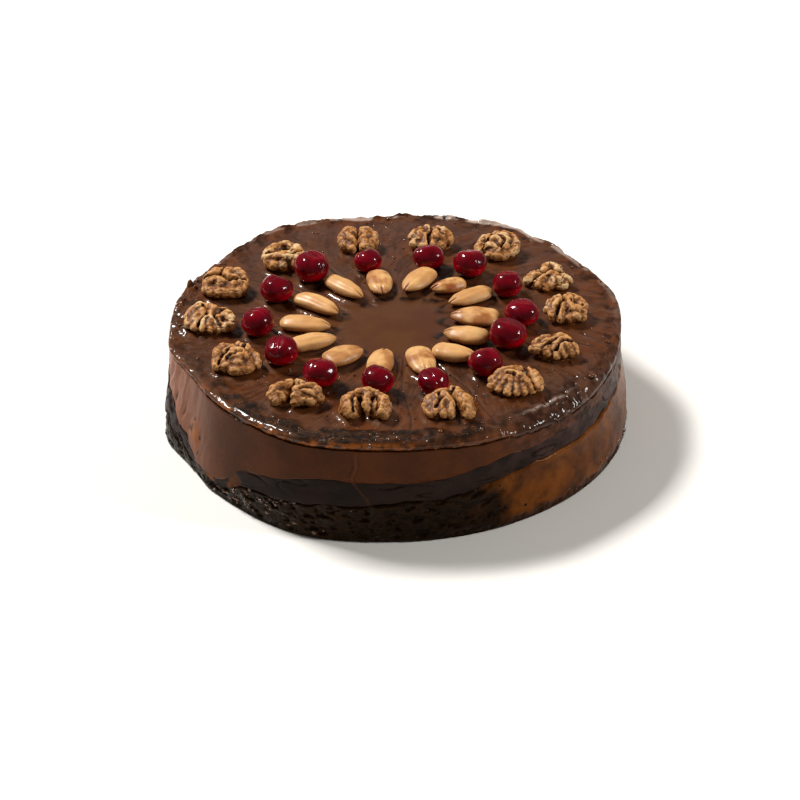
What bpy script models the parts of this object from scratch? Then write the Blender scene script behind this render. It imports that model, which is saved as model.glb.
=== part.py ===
"""Round fruit cake: crumb base, dark chocolate band, milk chocolate coat and a glazed top, with a ring
of walnut halves, candied cherries and blanched almonds laid out in fourteen portions.

Lengths are metres, angles are degrees from +X towards +Y, and +Z points up. The origin is the middle of
the underside, and the front of the cake faces -Y.
"""
import math
import random

import bmesh
import bpy

# Driving dimensions
MM = 0.001
RIM_RADIUS = 124.5 * MM
FOOT_RADIUS = 128.5 * MM
TOP_HEIGHT = 59.0 * MM
GLAZE_THICKNESS = 3.2 * MM
GAP = 0.3 * MM
CRACK_LEVEL = 24.0 * MM
BAND_LEVEL = 35.0 * MM
SEAM_DEPTH = 0.9 * MM
MARK_DEPTH = 0.7 * MM
CENTRE_DISC_RADIUS = 33.0 * MM
FOOT_TUCK = 2.5 * MM

# Insets from the side of the rings that make up a seam, and from the rim of those that make up the top
SEAM_INSETS = (0, 5 * MM, 13 * MM)
LIP_INSET = 0.8 * MM
LIP_ROUGHNESS = 0.3 * MM
PLAIN_TOP_INSET = 3 * MM
MARKED_TOP_INSETS = (7 * MM, 13.5 * MM)

# Side of each layer: rows of its mesh, outward bulge and roughness in mm, and the seed of the roughness
BASE_SIDE = (4, 1.2, 0.7, 1)
DARK_SIDE = (2, 0.6, 0.2, 2)
BROWN_SIDE = (4, 0.5, 0.15, 3)
GLAZE_SIDE = (1, 0.9, 0.5, 5)
# A layer lower than this runs out flush with its seams
FULL_RELIEF_HEIGHT = 10 * MM

# The portions, by the angle of their middle, and the mesh columns that each one gets
PORTION_ANGLES = (-170, -146, -121, -98, -74, -50, -26, -2, 23, 49, 73, 106, 137, 163)
COLUMNS_PER_PORTION = 5

# Swells and dents of the handmade rim: angle, half width in degrees, outward amount in mm
RIM_SWELLS = (
    (14, 12, 2.6),
    (43, 4, 2.6),
    (57, 7, 4.3),
    (97, 9, -5.0),
    (126, 7, 2.8),
    (150, 10, -2.8),
    (-167, 6, 2.0),
    (-152, 8, -2.4),
    (-113, 16, 3.8),
)

# Height of a seam where it meets the side, in mm, by angle
CRACK_EDGE = (
    (-176, 22), (-162, 13), (-148, 5), (-138, 8), (-124, 18), (-103, 21.5), (-80, 25.5),
    (-53, 33), (-35, 33), (-15, 36), (30, 28), (90, 22), (150, 21),
)
BAND_EDGE = (
    (-176, 44), (-166, 35), (-156, 18), (-148, 9), (-139, 11), (-127, 28), (-105, 38),
    (-86, 36), (-58, 44), (-20, 46), (30, 38), (90, 34), (150, 38),
)

# How wide the top rolls over into the side, in mm, by angle: a soft shoulder lies front right
ROLL_WIDTH = ((-84, 3.5), (-67, 7), (-50, 13), (-36, 13), (-22, 9), (-8, 4), (60, 3.5), (180, 3.5))
ROLL_DROP = 0.6

# Outward spread of the pooled foot of the cake, in mm, by angle
FOOT_SPREAD = ((-165, 1.5), (-130, 0), (-60, 0), (-12, 2.5), (20, 1), (90, 0.5), (150, 1))

# Walnut halves: angle, distance, size along the cleft, size across it, height (mm), way of the cleft,
# depth of the cleft as a share of the height
WALNUTS = (
    (135.5, 89.8, 24, 25, 12.0, 75, 0.40),
    (161.5, 100, 28, 24, 12.0, -5, 0.30),
    (184, 101, 31, 22, 12.0, -18, 0.28),
    (210, 97.3, 28.5, 24, 12.5, -5, 0.35),
    (237.5, 97.4, 19.5, 30, 12.0, 85, 0.50),
    (260.5, 94.2, 22, 27.5, 12.5, 92, 0.60),
    (286.7, 96.6, 21, 29, 12.5, -70, 0.50),
    (312, 95.4, 31.5, 21, 12.0, -8, 0.30),
    (337, 92.8, 29, 18.5, 12.0, 0, 0.30),
    (2, 94.3, 26, 22.5, 12.5, 5, 0.30),
    (24, 94.6, 30, 20.5, 12.0, -15, 0.35),
    (52, 95, 26, 26, 12.5, 95, 0.40),
    (76.5, 87, 22, 26, 12.0, 92, 0.40),
    (105, 84, 22, 23.5, 12.0, 86, 0.50),
)

# Candied cherries: angle, distance, diameter, height (mm)
CHERRIES = (
    (137, 65, 20.6, 17.8),
    (162, 69.5, 19.0, 16.2),
    (191, 76.5, 18.4, 16.8),
    (216, 75.5, 18.6, 16.8),
    (239, 77, 19.0, 16.2),
    (263, 74, 17.9, 16.4),
    (285, 77.2, 17.3, 15.0),
    (311, 73, 19.2, 16.4),
    (336, 67, 20.8, 17.2),
    (357, 69.5, 19.6, 15.0),
    (23, 67.8, 16.8, 16.0),
    (50, 65.5, 19.6, 16.8),
    (72, 60.8, 18.6, 15.6),
    (106, 57, 16.5, 14.5),
)

# Blanched almonds: angle, distance, length, width, thickness (mm), way of the pointed end, bend (mm)
ALMONDS = (
    (134, 41, 30.5, 13.0, 8.0, -47, 0),
    (167, 45.3, 31.5, 14.5, 8.0, -36, 2.5),
    (192, 50.5, 28.5, 14.5, 8.0, -9, 0.5),
    (213.5, 53.5, 27.5, 14.5, 8.5, 21, 0.5),
    (237.5, 51.4, 25.0, 17.5, 8.0, 35, 1.0),
    (261, 50, 26.0, 15.0, 8.0, 81, 0),
    (286, 50.5, 28.5, 16.0, 7.5, -78, 0),
    (307.8, 51.6, 25.0, 14.5, 8.5, -15, 0),
    (330, 44.6, 25.8, 15.0, 8.8, 168, 0.5),
    (356.5, 44.0, 27.6, 16.5, 8.8, 176, 0),
    (25.5, 46.0, 28.8, 14.0, 8.0, 212, 0.5),
    (46.5, 43, 21.8, 12.5, 8.0, 201, 0.5),
    (70.8, 39.3, 28.5, 16.0, 8.5, 235, 0),
    (104, 36.3, 25.0, 15.0, 7.5, -82, 0),
)

# Walnut half: points round it, reach and rise of each ring as shares of its outline and height, then the
# lobes round its edge and their relief, and how wide and deep the cleft notches the ends
KERNEL_POINTS = 18
KERNEL_RINGS = ((0.72, 0.0), (0.98, 0.22), (1.0, 0.42), (0.88, 0.72), (0.62, 0.93), (0.32, 1.0))
KERNEL_LOBES = 9
LOBE_RELIEF = 0.05
NOTCH_WIDTH = 0.25
NOTCH_DEPTH = 0.35
CLEFT_WIDTH = 0.14

# Cherry: points round it, its rings by latitude, and the height of the dimple as a share of its own
CHERRY_POINTS = 12
CHERRY_LATITUDES = (-64, -38, -6, 26, 56)
DIMPLE_HEIGHT = 0.93

# Almond: points round it, its rings and its widest place along its length
ALMOND_POINTS = 10
ALMOND_STATIONS = (0.06, 0.22, 0.42, 0.62, 0.80, 0.93)
ALMOND_WIDEST = 0.40


def angle_between(a, b):
    """Smallest turn in degrees from b to a."""
    return (a - b + 180) % 360 - 180


def smooth(share):
    """Ease from 0 to 1."""
    share = min(max(share, 0), 1)
    return share * share * (3 - 2 * share)


def around(rows, angle):
    """Value at an angle, eased between the rows of a closed (angle, mm) table, in metres."""
    rows = sorted((row_angle % 360, value) for row_angle, value in rows)
    angle %= 360
    after = next((k for k, row in enumerate(rows) if row[0] > angle), 0)
    before_angle, before_value = rows[after - 1]
    after_angle, after_value = rows[after]
    width = (after_angle - before_angle) % 360
    share = smooth((angle - before_angle) % 360 / width)
    return (before_value + (after_value - before_value) * share) * MM


def rim_radius(angle):
    """Radius of the uneven rim."""
    swells = sum(
        amount * math.exp(-((angle_between(angle, middle) / half_width) ** 2))
        for middle, half_width, amount in RIM_SWELLS
    )
    return RIM_RADIUS + swells * MM


def side_radius(angle, height):
    """Radius of the side at a height: it spreads towards the foot."""
    share = 1 - height / TOP_HEIGHT
    spread = (FOOT_RADIUS - RIM_RADIUS) * share
    pool = around(FOOT_SPREAD, angle) * smooth((share - 0.4) / 0.3)
    return rim_radius(angle) + spread + pool


def portion_columns():
    """Mesh columns as (angle, is_mark), with a portion mark on each edge between two portions."""
    columns = []
    count = len(PORTION_ANGLES)
    for k, middle in enumerate(PORTION_ANGLES):
        before = middle - angle_between(middle, PORTION_ANGLES[k - 1]) / 2
        after = middle + angle_between(PORTION_ANGLES[(k + 1) % count], middle) / 2
        for step in range(COLUMNS_PER_PORTION):
            share = step / COLUMNS_PER_PORTION
            columns.append((before + (after - before) * share, step == 0))
    return columns


COLUMNS = portion_columns()


def place(angle, radius, height):
    """Point at an angle, radius and height."""
    return (radius * math.cos(math.radians(angle)), radius * math.sin(math.radians(angle)), height)


def top_height(angle, inset):
    """Height of the top at an inset from the rim, where it rolls over into the side."""
    width = around(ROLL_WIDTH, angle)
    share = min(inset / width, 1)
    return TOP_HEIGHT - ROLL_DROP * width * (1 - math.sqrt(1 - (1 - share) ** 2))


def seam_rings(edge_height, level, side):
    """Rings of a seam between two layers, from the side inwards.

    The side is +1 above the gap and -1 below it.
    """
    depth = SEAM_INSETS[-1]
    rings = []
    for inset in SEAM_INSETS:
        ring = []
        for angle, _ in COLUMNS:
            edge = edge_height(angle)
            inner = level(angle)
            radius = side_radius(angle, edge) - SEAM_DEPTH - inset
            height = edge + (inner - edge) * smooth(inset / depth)
            steepness = math.hypot(1, 1.5 * (inner - edge) / depth)
            ring.append(place(angle, radius, height + side * GAP / 2 * steepness))
        rings.append(ring)
    return rings


def crack_rings(side):
    """Seam between the crumb base and the dark band."""
    return seam_rings(lambda a: around(CRACK_EDGE, a), lambda a: CRACK_LEVEL, side)


def band_rings(side):
    """Seam between the dark band and the milk chocolate coat."""
    return seam_rings(lambda a: around(BAND_EDGE, a), lambda a: BAND_LEVEL, side)


def glaze_rings(side):
    """Seam under the glaze, which follows the rolled shoulder of the top."""
    return seam_rings(
        lambda a: top_height(a, SEAM_DEPTH) - GLAZE_THICKNESS, lambda a: TOP_HEIGHT - GLAZE_THICKNESS, side
    )


def side_rings(lower, upper, relief):
    """Rings up the outside, between a lower and an upper seam ring, bulged and roughened."""
    rows, bulge, roughness, seed = relief
    draw = random.Random(seed)
    rings = []
    for row in range(1, rows + 1):
        share = row / (rows + 1)
        ring = []
        for (angle, _), low, high in zip(COLUMNS, lower, upper):
            height = low[2] + (high[2] - low[2]) * share
            tall = min((high[2] - low[2]) / FULL_RELIEF_HEIGHT, 1)
            swell = bulge * math.sin(math.pi * share) + draw.uniform(-roughness, roughness)
            radius = math.hypot(low[0], low[1]) * (1 - share) + math.hypot(high[0], high[1]) * share
            ring.append(place(angle, radius + (SEAM_DEPTH + swell * MM) * tall, height))
        rings.append(ring)
    return rings


def skin(name, rings, bottom, top, turned_rings=0):
    """Closed mesh over a stack of rings, from a bottom point to a top point.

    The first turned_rings bands run outwards, so their triangles are split the other way:
    then both faces of a seam are split alike, and the gap between them stays even.
    """
    mesh = bmesh.new()
    loops = [[mesh.verts.new(point) for point in ring] for ring in rings]
    bottom_vertex = mesh.verts.new(bottom)
    top_vertex = mesh.verts.new(top)
    count = len(rings[0])
    for k in range(count):
        following = (k + 1) % count
        mesh.faces.new((bottom_vertex, loops[0][following], loops[0][k]))
        mesh.faces.new((top_vertex, loops[-1][k], loops[-1][following]))
        for band, (lower, upper) in enumerate(zip(loops, loops[1:])):
            a, b, c, d = lower[k], lower[following], upper[following], upper[k]
            if band < turned_rings:
                mesh.faces.new((a, b, d))
                mesh.faces.new((b, c, d))
            else:
                mesh.faces.new((a, b, c))
                mesh.faces.new((a, c, d))
    bmesh.ops.recalc_face_normals(mesh, faces=mesh.faces)
    data = bpy.data.meshes.new(name)
    mesh.to_mesh(data)
    mesh.free()
    data.shade_smooth()
    data.set_sharp_from_angle(angle=math.radians(50))
    return data


def foot_ring():
    """Edge of the flat underside, tucked in under the side."""
    return [place(angle, side_radius(angle, 0) - FOOT_TUCK, 0) for angle, _ in COLUMNS]


def glaze_top_rings():
    """Rings over the glazed top, from its rounded lip inwards, with the shallow portion marks."""
    draw = random.Random(4)
    lip = []
    for angle, _ in COLUMNS:
        height = top_height(angle, LIP_INSET) + draw.uniform(-LIP_ROUGHNESS, LIP_ROUGHNESS)
        lip.append(place(angle, rim_radius(angle) - LIP_INSET, height))
    rings = [lip]
    for inset in (PLAIN_TOP_INSET, *MARKED_TOP_INSETS):
        ring = []
        for angle, is_mark in COLUMNS:
            dip = MARK_DEPTH if is_mark and inset in MARKED_TOP_INSETS else 0
            ring.append(place(angle, rim_radius(angle) - inset, top_height(angle, inset) - dip))
        rings.append(ring)
    disc = [place(angle, CENTRE_DISC_RADIUS, TOP_HEIGHT - MARK_DEPTH * is_mark) for angle, is_mark in COLUMNS]
    return rings + [disc]


def walnut_rings(along, across, height, cleft):
    """Folded half kernel: a low dome split by a cleft, with blunt lobes round its edge."""
    rings = []
    for reach, rise in KERNEL_RINGS:
        ring = []
        for k in range(KERNEL_POINTS):
            turn = 2 * math.pi * k / KERNEL_POINTS
            lobes = 1 + LOBE_RELIEF * math.cos(KERNEL_LOBES * turn)
            notch = 1 - NOTCH_DEPTH * cleft * math.exp(-((math.sin(turn) / NOTCH_WIDTH) ** 2))
            x = along / 2 * math.cos(turn) * reach * lobes * notch
            y = across / 2 * math.sin(turn) * reach * lobes
            groove = cleft * math.exp(-((y / (CLEFT_WIDTH * across)) ** 2))
            ring.append((x, y, height * rise * (1 - groove * smooth(rise / 0.7))))
        rings.append(ring)
    return rings, height * (1 - cleft)


def cherry_rings(diameter, height):
    """Soft round fruit that sits flat and has a small dimple on top."""
    flat = math.sin(math.radians(CHERRY_LATITUDES[0]))
    rings = []
    for latitude in CHERRY_LATITUDES:
        radius = diameter / 2 * math.cos(math.radians(latitude))
        level = height / 2 * (1 - math.sin(math.radians(latitude)) / flat)
        level = min(level, height * DIMPLE_HEIGHT)
        ring = []
        for k in range(CHERRY_POINTS):
            turn = 2 * math.pi * k / CHERRY_POINTS
            ring.append((radius * math.cos(turn), radius * math.sin(turn), level))
        rings.append(ring)
    return rings


def almond_rings(length, width, thickness, bend):
    """Teardrop kernel along +X, pointed at its +X end, as rings from the blunt end to the point."""
    rings = []
    for station in ALMOND_STATIONS:
        # A blunt half ellipse behind the widest place, and a finer taper ahead of it
        if station < ALMOND_WIDEST:
            swell = math.sqrt(1 - ((ALMOND_WIDEST - station) / ALMOND_WIDEST) ** 2)
        else:
            swell = (1 - ((station - ALMOND_WIDEST) / (1 - ALMOND_WIDEST)) ** 2.1) ** 0.7
        x = length * (station - 0.5)
        sway = bend * math.cos(math.pi * (station - 0.5))
        ring = []
        for k in range(ALMOND_POINTS):
            turn = 2 * math.pi * k / ALMOND_POINTS
            y = width / 2 * swell * math.cos(turn) + sway
            z = thickness / 2 * (1 + swell * math.sin(turn))
            ring.append((x, y, z))
        rings.append(ring)
    return rings


def cake_material(name, red, green, blue, roughness):
    """Plain finish in the colour of one food."""
    material = bpy.data.materials.new(name)
    material.use_nodes = True
    shader = material.node_tree.nodes["Principled BSDF"]
    shader.inputs["Base Color"].default_value = (red, green, blue, 1)
    shader.inputs["Roughness"].default_value = roughness
    shader.inputs["Metallic"].default_value = 0
    material.diffuse_color = (red, green, blue, 1)
    return material


def add_piece(name, mesh, material, parent, location=(0, 0, 0), turn=0):
    """One named piece of the cake, in its place."""
    mesh.materials.append(material)
    piece = bpy.data.objects.new(name, mesh)
    bpy.context.scene.collection.objects.link(piece)
    piece.parent = parent
    piece.location = location
    piece.rotation_euler.z = math.radians(turn)
    return piece


def build_layers(parent):
    """The four layers, from the foot up."""
    half_gap = GAP / 2
    inner = len(SEAM_INSETS) - 1
    glaze_level = TOP_HEIGHT - GLAZE_THICKNESS

    foot, seam = foot_ring(), crack_rings(-1)
    rings = [foot] + side_rings(foot, seam[0], BASE_SIDE) + seam
    mesh = skin("base_cake", rings, (0, 0, 0), (0, 0, CRACK_LEVEL - half_gap))
    add_piece("base_cake", mesh, cake_material("dark_crumb", 0.025, 0.010, 0.005, 0.6), parent)

    low, high = crack_rings(1), band_rings(-1)
    rings = low[::-1] + side_rings(low[0], high[0], DARK_SIDE) + high
    mesh = skin("dark_layer", rings, (0, 0, CRACK_LEVEL + half_gap), (0, 0, BAND_LEVEL - half_gap), inner)
    add_piece("dark_layer", mesh, cake_material("dark_chocolate", 0.018, 0.010, 0.010, 0.3), parent)

    low, high = band_rings(1), glaze_rings(-1)
    rings = low[::-1] + side_rings(low[0], high[0], BROWN_SIDE) + high
    mesh = skin("brown_layer", rings, (0, 0, BAND_LEVEL + half_gap), (0, 0, glaze_level - half_gap), inner)
    add_piece("brown_layer", mesh, cake_material("milk_chocolate", 0.085, 0.035, 0.020, 0.3), parent)

    low, top = glaze_rings(1), glaze_top_rings()
    rings = low[::-1] + side_rings(low[0], top[0], GLAZE_SIDE) + top
    mesh = skin("top_glaze", rings, (0, 0, glaze_level + half_gap), (0, 0, TOP_HEIGHT), inner)
    add_piece("top_glaze", mesh, cake_material("chocolate_glaze", 0.110, 0.050, 0.028, 0.2), parent)


def build_toppings(parent):
    """Walnut halves outside, cherries between, almonds pointing at the middle."""
    rest = TOP_HEIGHT + GAP
    kernel = cake_material("walnut", 0.40, 0.20, 0.08, 0.6)
    for k, (angle, distance, along, across, height, way, cleft) in enumerate(WALNUTS, 1):
        name = f"walnut_{k:02d}"
        rings, middle = walnut_rings(along * MM, across * MM, height * MM, cleft)
        mesh = skin(name, rings, (0, 0, 0), (0, 0, middle))
        add_piece(name, mesh, kernel, parent, place(angle, distance * MM, rest), way)
    fruit = cake_material("candied_cherry", 0.25, 0.002, 0.008, 0.1)
    for k, (angle, distance, diameter, height) in enumerate(CHERRIES, 1):
        name = f"cherry_{k:02d}"
        dimple = (0, 0, height * DIMPLE_HEIGHT * MM)
        mesh = skin(name, cherry_rings(diameter * MM, height * MM), (0, 0, 0), dimple)
        add_piece(name, mesh, fruit, parent, place(angle, distance * MM, rest), angle)
    nut = cake_material("blanched_almond", 0.65, 0.38, 0.14, 0.4)
    for k, (angle, distance, length, width, thickness, way, bend) in enumerate(ALMONDS, 1):
        name = f"almond_{k:02d}"
        rings = almond_rings(length * MM, width * MM, thickness * MM, bend * MM)
        middle = thickness / 2 * MM
        mesh = skin(name, rings, (-length / 2 * MM, 0, middle), (length / 2 * MM, 0, middle))
        add_piece(name, mesh, nut, parent, place(angle, distance * MM, rest), way)


def main():
    """Clear the scene and build the cake."""
    for old in list(bpy.data.objects):
        bpy.data.objects.remove(old)
    cake = bpy.data.objects.new("fruit_cake", None)
    bpy.context.scene.collection.objects.link(cake)
    build_layers(cake)
    build_toppings(cake)
    bpy.context.view_layer.update()


main()
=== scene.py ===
# %% [markdown]
# # A glazed fruit cake, layer by layer
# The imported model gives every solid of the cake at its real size. This lesson dresses it: each layer, nut and
# fruit gets a fine surface over its solid, and a finish made of shader nodes. Lengths are metres, up is +Z.

# %% Load the frame
import math
import random
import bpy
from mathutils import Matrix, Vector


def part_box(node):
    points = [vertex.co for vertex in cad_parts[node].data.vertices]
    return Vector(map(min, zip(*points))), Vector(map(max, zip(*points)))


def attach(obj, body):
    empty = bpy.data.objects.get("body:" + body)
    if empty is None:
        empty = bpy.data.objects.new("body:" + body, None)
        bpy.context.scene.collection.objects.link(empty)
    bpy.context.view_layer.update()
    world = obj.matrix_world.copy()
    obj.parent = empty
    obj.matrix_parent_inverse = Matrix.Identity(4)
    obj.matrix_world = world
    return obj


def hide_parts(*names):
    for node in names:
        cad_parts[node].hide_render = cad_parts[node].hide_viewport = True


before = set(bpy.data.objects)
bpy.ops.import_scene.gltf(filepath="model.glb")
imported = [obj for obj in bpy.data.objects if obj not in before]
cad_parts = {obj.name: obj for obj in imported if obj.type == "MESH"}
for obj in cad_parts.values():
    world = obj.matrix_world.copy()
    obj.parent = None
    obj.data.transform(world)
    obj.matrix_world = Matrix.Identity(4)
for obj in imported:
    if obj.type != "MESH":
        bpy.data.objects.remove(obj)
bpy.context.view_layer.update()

from types import SimpleNamespace

import bpy
import numpy as np
from mathutils import Matrix, Vector, kdtree, noise

MM = 0.001

# %% [markdown]
# ## Small tools
# Operators act on whatever is selected, so every step begins by selecting one piece and nothing else. The
# other helpers do what a modeller does by hand again and again: apply a modifier, read and write the points
# of a mesh, and leave a painted value on each point for a material to read.

# %% Helpers for meshes
def only(piece):
    """Selects one object and nothing else, and makes it active."""
    bpy.ops.object.select_all(action="DESELECT")
    piece.select_set(True)
    bpy.context.view_layer.objects.active = piece


def apply_modifier(piece, kind, **settings):
    """Adds one modifier with its settings and applies it."""
    only(piece)
    modifier = piece.modifiers.new(kind.lower(), kind)
    for option, value in settings.items():
        setattr(modifier, option, value)
    bpy.ops.object.modifier_apply(modifier=modifier.name)


def points_of(piece):
    """The points of a mesh as rows of x, y, z."""
    flat = np.empty(len(piece.data.vertices) * 3, dtype=np.float32)
    piece.data.vertices.foreach_get("co", flat)
    return flat.reshape(-1, 3).astype(float)


def move_points(piece, points):
    """Writes the points back."""
    piece.data.vertices.foreach_set("co", np.asarray(points, dtype=np.float32).ravel())
    piece.data.update()


def paint(piece, name, values):
    """Leaves one number on each point, for a material to read."""
    layer = piece.data.attributes.new(name, "FLOAT", "POINT")
    layer.data.foreach_set("value", np.asarray(values, dtype=np.float32))


def bumps(points, size, octaves=3, seed=0):
    """Fractal noise at each point, from about -1 to 1, whose widest bumps are size metres across."""
    shift = Vector((17.3, 5.1, 9.7)) * seed
    return np.array([noise.fractal(Vector(p) / size + shift, 1.0, 2.0, octaves) for p in points])


def ease(share):
    """Eases from 0 to 1, for numbers or whole arrays."""
    share = np.clip(share, 0, 1)
    return share * share * (3 - 2 * share)


def bell(distance, width, power=2):
    """1 where a distance is 0, falling softly to 0 beyond the width. A higher power makes a flatter top."""
    return np.exp(-((distance / width) ** power))


def ride_root(piece, slot, *nodes):
    """Puts a finished piece on the cake's one body, in the place of its solids."""
    if nodes:
        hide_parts(*nodes)
    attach(piece, "root")


def count_faces(label, *pieces):
    """Prints how many pieces were made and how many faces they have."""
    print(label + ":", len(pieces), "faces:", sum(len(piece.data.polygons) for piece in pieces))


# %% [markdown]
# Several materials paint shade into their hollows, so they need to know how deep a point lies. Blender
# has a dirt tool for painted colours, but a smoothed copy of the points gives the depth in real metres.

# %% Depth of hollows
def hollows(piece, rounds):
    """How deep each point lies in a hollow, in metres. The mesh is smoothed in numbers only, and the way from
    a point to its smoothed place, along its normal, is positive in a groove and negative on a crest."""
    mesh = piece.data
    start = points_of(piece)
    ends = np.empty(len(mesh.edges) * 2, dtype=np.int32)
    mesh.edges.foreach_get("vertices", ends)
    ends = ends.reshape(-1, 2)
    one, two = np.concatenate((ends[:, 0], ends[:, 1])), np.concatenate((ends[:, 1], ends[:, 0]))
    neighbours = np.maximum(np.bincount(one, minlength=len(start)), 1)
    smoothed = start.copy()
    for _ in range(rounds):
        for axis in range(3):
            total = np.bincount(one, weights=smoothed[two, axis], minlength=len(start))
            smoothed[:, axis] = 0.5 * smoothed[:, axis] + 0.5 * total / neighbours
    normals = np.empty(len(start) * 3, dtype=np.float32)
    mesh.vertices.foreach_get("normal", normals)
    return ((smoothed - start) * normals.reshape(-1, 3)).sum(axis=1)


# %% [markdown]
# ## Colours and nodes
# A colour picked from a screen is sRGB, but shaders count in linear light, so one function turns the hex
# value over. One more function adds any node: its options, then its sockets, each filled with a number, a
# colour or the output of another node. The Mix node keeps its colours in sockets 6 and 7 and its result in
# output 2.

# %% Helpers for materials
def srgb(code):
    """Linear colour of an sRGB hex value."""
    parts = [int(code[k:k + 2], 16) / 255 for k in (0, 2, 4)]
    return tuple(p / 12.92 if p <= 0.04045 else ((p + 0.055) / 1.055) ** 2.4 for p in parts) + (1.0,)


def add(tree, kind, settings=None, sockets=None):
    """Adds one node with its options and sockets."""
    node = tree.nodes.new(kind)
    for option, value in (settings or {}).items():
        setattr(node, option, value)
    for socket, value in (sockets or {}).items():
        if isinstance(value, bpy.types.NodeSocket):
            tree.links.new(value, node.inputs[socket])
        else:
            node.inputs[socket].default_value = value
    return node


def new_material(name, **sockets):
    """A Principled material; its even values are set straight on the shader's sockets."""
    material = bpy.data.materials.new(name)
    material.use_nodes = True
    shader = material.node_tree.nodes["Principled BSDF"]
    for socket, value in sockets.items():
        shader.inputs[socket.replace("_", " ")].default_value = value
    return material, material.node_tree, shader


def plug(shader, **outputs):
    """Joins outputs of nodes to sockets of the shader."""
    for socket, output in outputs.items():
        shader.id_data.links.new(output, shader.inputs[socket.replace("_", " ")])


def dress(material, *pieces):
    """Gives one material to some pieces."""
    for piece in pieces:
        piece.data.materials.append(material)
    print("material:", material.name, "on pieces:", len(pieces))


def painted(tree, name):
    """The number that was painted on the points under this name."""
    return add(tree, "ShaderNodeAttribute", {"attribute_name": name}).outputs["Fac"]


def clouds(tree, size, detail=4.0):
    """Noise whose bumps are size metres across, from 0 to 1, fixed to the object."""
    place = add(tree, "ShaderNodeTexCoord").outputs["Object"]
    sockets = {"Vector": place, "Scale": 1 / size, "Detail": detail}
    return add(tree, "ShaderNodeTexNoise", None, sockets).outputs["Fac"]


def between(tree, value, low, high):
    """Eases from 0 at low to 1 at high."""
    sockets = {"Value": value, "From Min": low, "From Max": high}
    return add(tree, "ShaderNodeMapRange", {"interpolation_type": "SMOOTHSTEP"}, sockets).outputs[0]


def straight(tree, value, low, high, start, end):
    """Runs in a straight line from start at low to end at high."""
    sockets = {"Value": value, "From Min": low, "From Max": high, "To Min": start, "To Max": end}
    return add(tree, "ShaderNodeMapRange", None, sockets).outputs[0]


def times(tree, one, two):
    """Product of two numbers."""
    return add(tree, "ShaderNodeMath", {"operation": "MULTIPLY"}, {0: one, 1: two}).outputs[0]


def times_plus(tree, one, two, extra):
    """Product of two numbers, and a third added to it."""
    return add(tree, "ShaderNodeMath", {"operation": "MULTIPLY_ADD"}, {0: one, 1: two, 2: extra}).outputs[0]


def over(tree, amount, below, above):
    """One colour laid over another by an amount."""
    return add(tree, "ShaderNodeMix", {"data_type": "RGBA"}, {0: amount, 6: below, 7: above}).outputs[2]


def layered(tree, colour, *rows):
    """Hex colours laid over one another, each by its own amount."""
    for amount, code in rows:
        colour = over(tree, amount, colour, srgb(code))
    return colour


def emboss(tree, height, strength, distance):
    """Normal of a fine relief, distance metres deep."""
    sockets = {"Height": height, "Strength": strength, "Distance": distance}
    return add(tree, "ShaderNodeBump", None, sockets).outputs["Normal"]

# %% [markdown]
# ## The form of the cake
# The cake was spread by hand, so its rim isn't a circle. These few dimensions are the ones that the solids
# were built from: swells and dents of the rim, the height of each seam where it meets the side, the soft
# shoulder at the front right, and the foot where the jelly ran together. Everything on the side and the top
# is placed by them.

# %% Driving dimensions
RIM_RADIUS = 124.5
FOOT_RADIUS = 128.5
TOP_HEIGHT = 59.0
GLAZE_THICKNESS = 3.2
GAP = 0.3
SEAM_DEPTH = 0.9
CRACK_LEVEL = 24.0
BAND_LEVEL = 35.0
CENTRE_DISC = 35.0
PORTIONS = (-170, -146, -121, -98, -74, -50, -26, -2, 23, 49, 73, 106, 137, 163)

# Angle, half width in degrees and outward amount in mm
RIM_SWELLS = (
    (14, 12, 2.6), (43, 4, 2.6), (57, 7, 4.3), (97, 9, -5.0), (126, 7, 2.8),
    (150, 10, -2.8), (-167, 6, 2.0), (-152, 8, -2.4), (-113, 16, 3.8),
)
# Angle and height or width in mm
CRACK_EDGE = (
    (-176, 22), (-162, 13), (-148, 5), (-138, 8), (-124, 18), (-103, 21.5), (-80, 25.5),
    (-53, 33), (-35, 33), (-15, 36), (30, 28), (90, 22), (150, 21),
)
BAND_EDGE = (
    (-176, 44), (-166, 35), (-156, 18), (-148, 9), (-139, 11), (-127, 28), (-105, 38),
    (-86, 36), (-58, 44), (-20, 46), (30, 38), (90, 34), (150, 38),
)
SHOULDER = ((-84, 3.5), (-67, 7), (-50, 13), (-36, 13), (-22, 9), (-8, 4), (60, 3.5), (180, 3.5))
SHOULDER_DROP = 0.6
FOOT_ROUND = 6.0
# The fine surface stays this far inside the solid's side, in mm
MARGIN = 0.7
FOOT_SPREAD = ((-165, 1.5), (-130, 0), (-60, 0), (-12, 2.5), (20, 1), (90, 0.5), (150, 1))


def turn_between(a, b):
    """Smallest turn from b to a, in degrees."""
    return (a - b + 180) % 360 - 180


def near_angle(angles, middle, half_width):
    """1 at an angle, falling softly to 0 on both sides of it."""
    return bell(turn_between(angles, middle), half_width)


def around(rows, angles):
    """Eased value at each angle of a closed table, in mm."""
    rows = sorted((row_angle % 360, value) for row_angle, value in rows)
    places = np.array([row[0] for row in rows])
    values = np.array([row[1] for row in rows])
    angles = np.asarray(angles) % 360
    after = np.searchsorted(places, angles, side="right") % len(rows)
    before = after - 1
    width = (places[after] - places[before]) % 360
    share = ease(((angles - places[before]) % 360) / width)
    return values[before] + (values[after] - values[before]) * share


def rim_radius(angles):
    """Radius of the rim, in mm."""
    total = np.full(np.shape(angles), RIM_RADIUS)
    for middle, half_width, amount in RIM_SWELLS:
        total = total + amount * near_angle(angles, middle, half_width)
    return total


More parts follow.
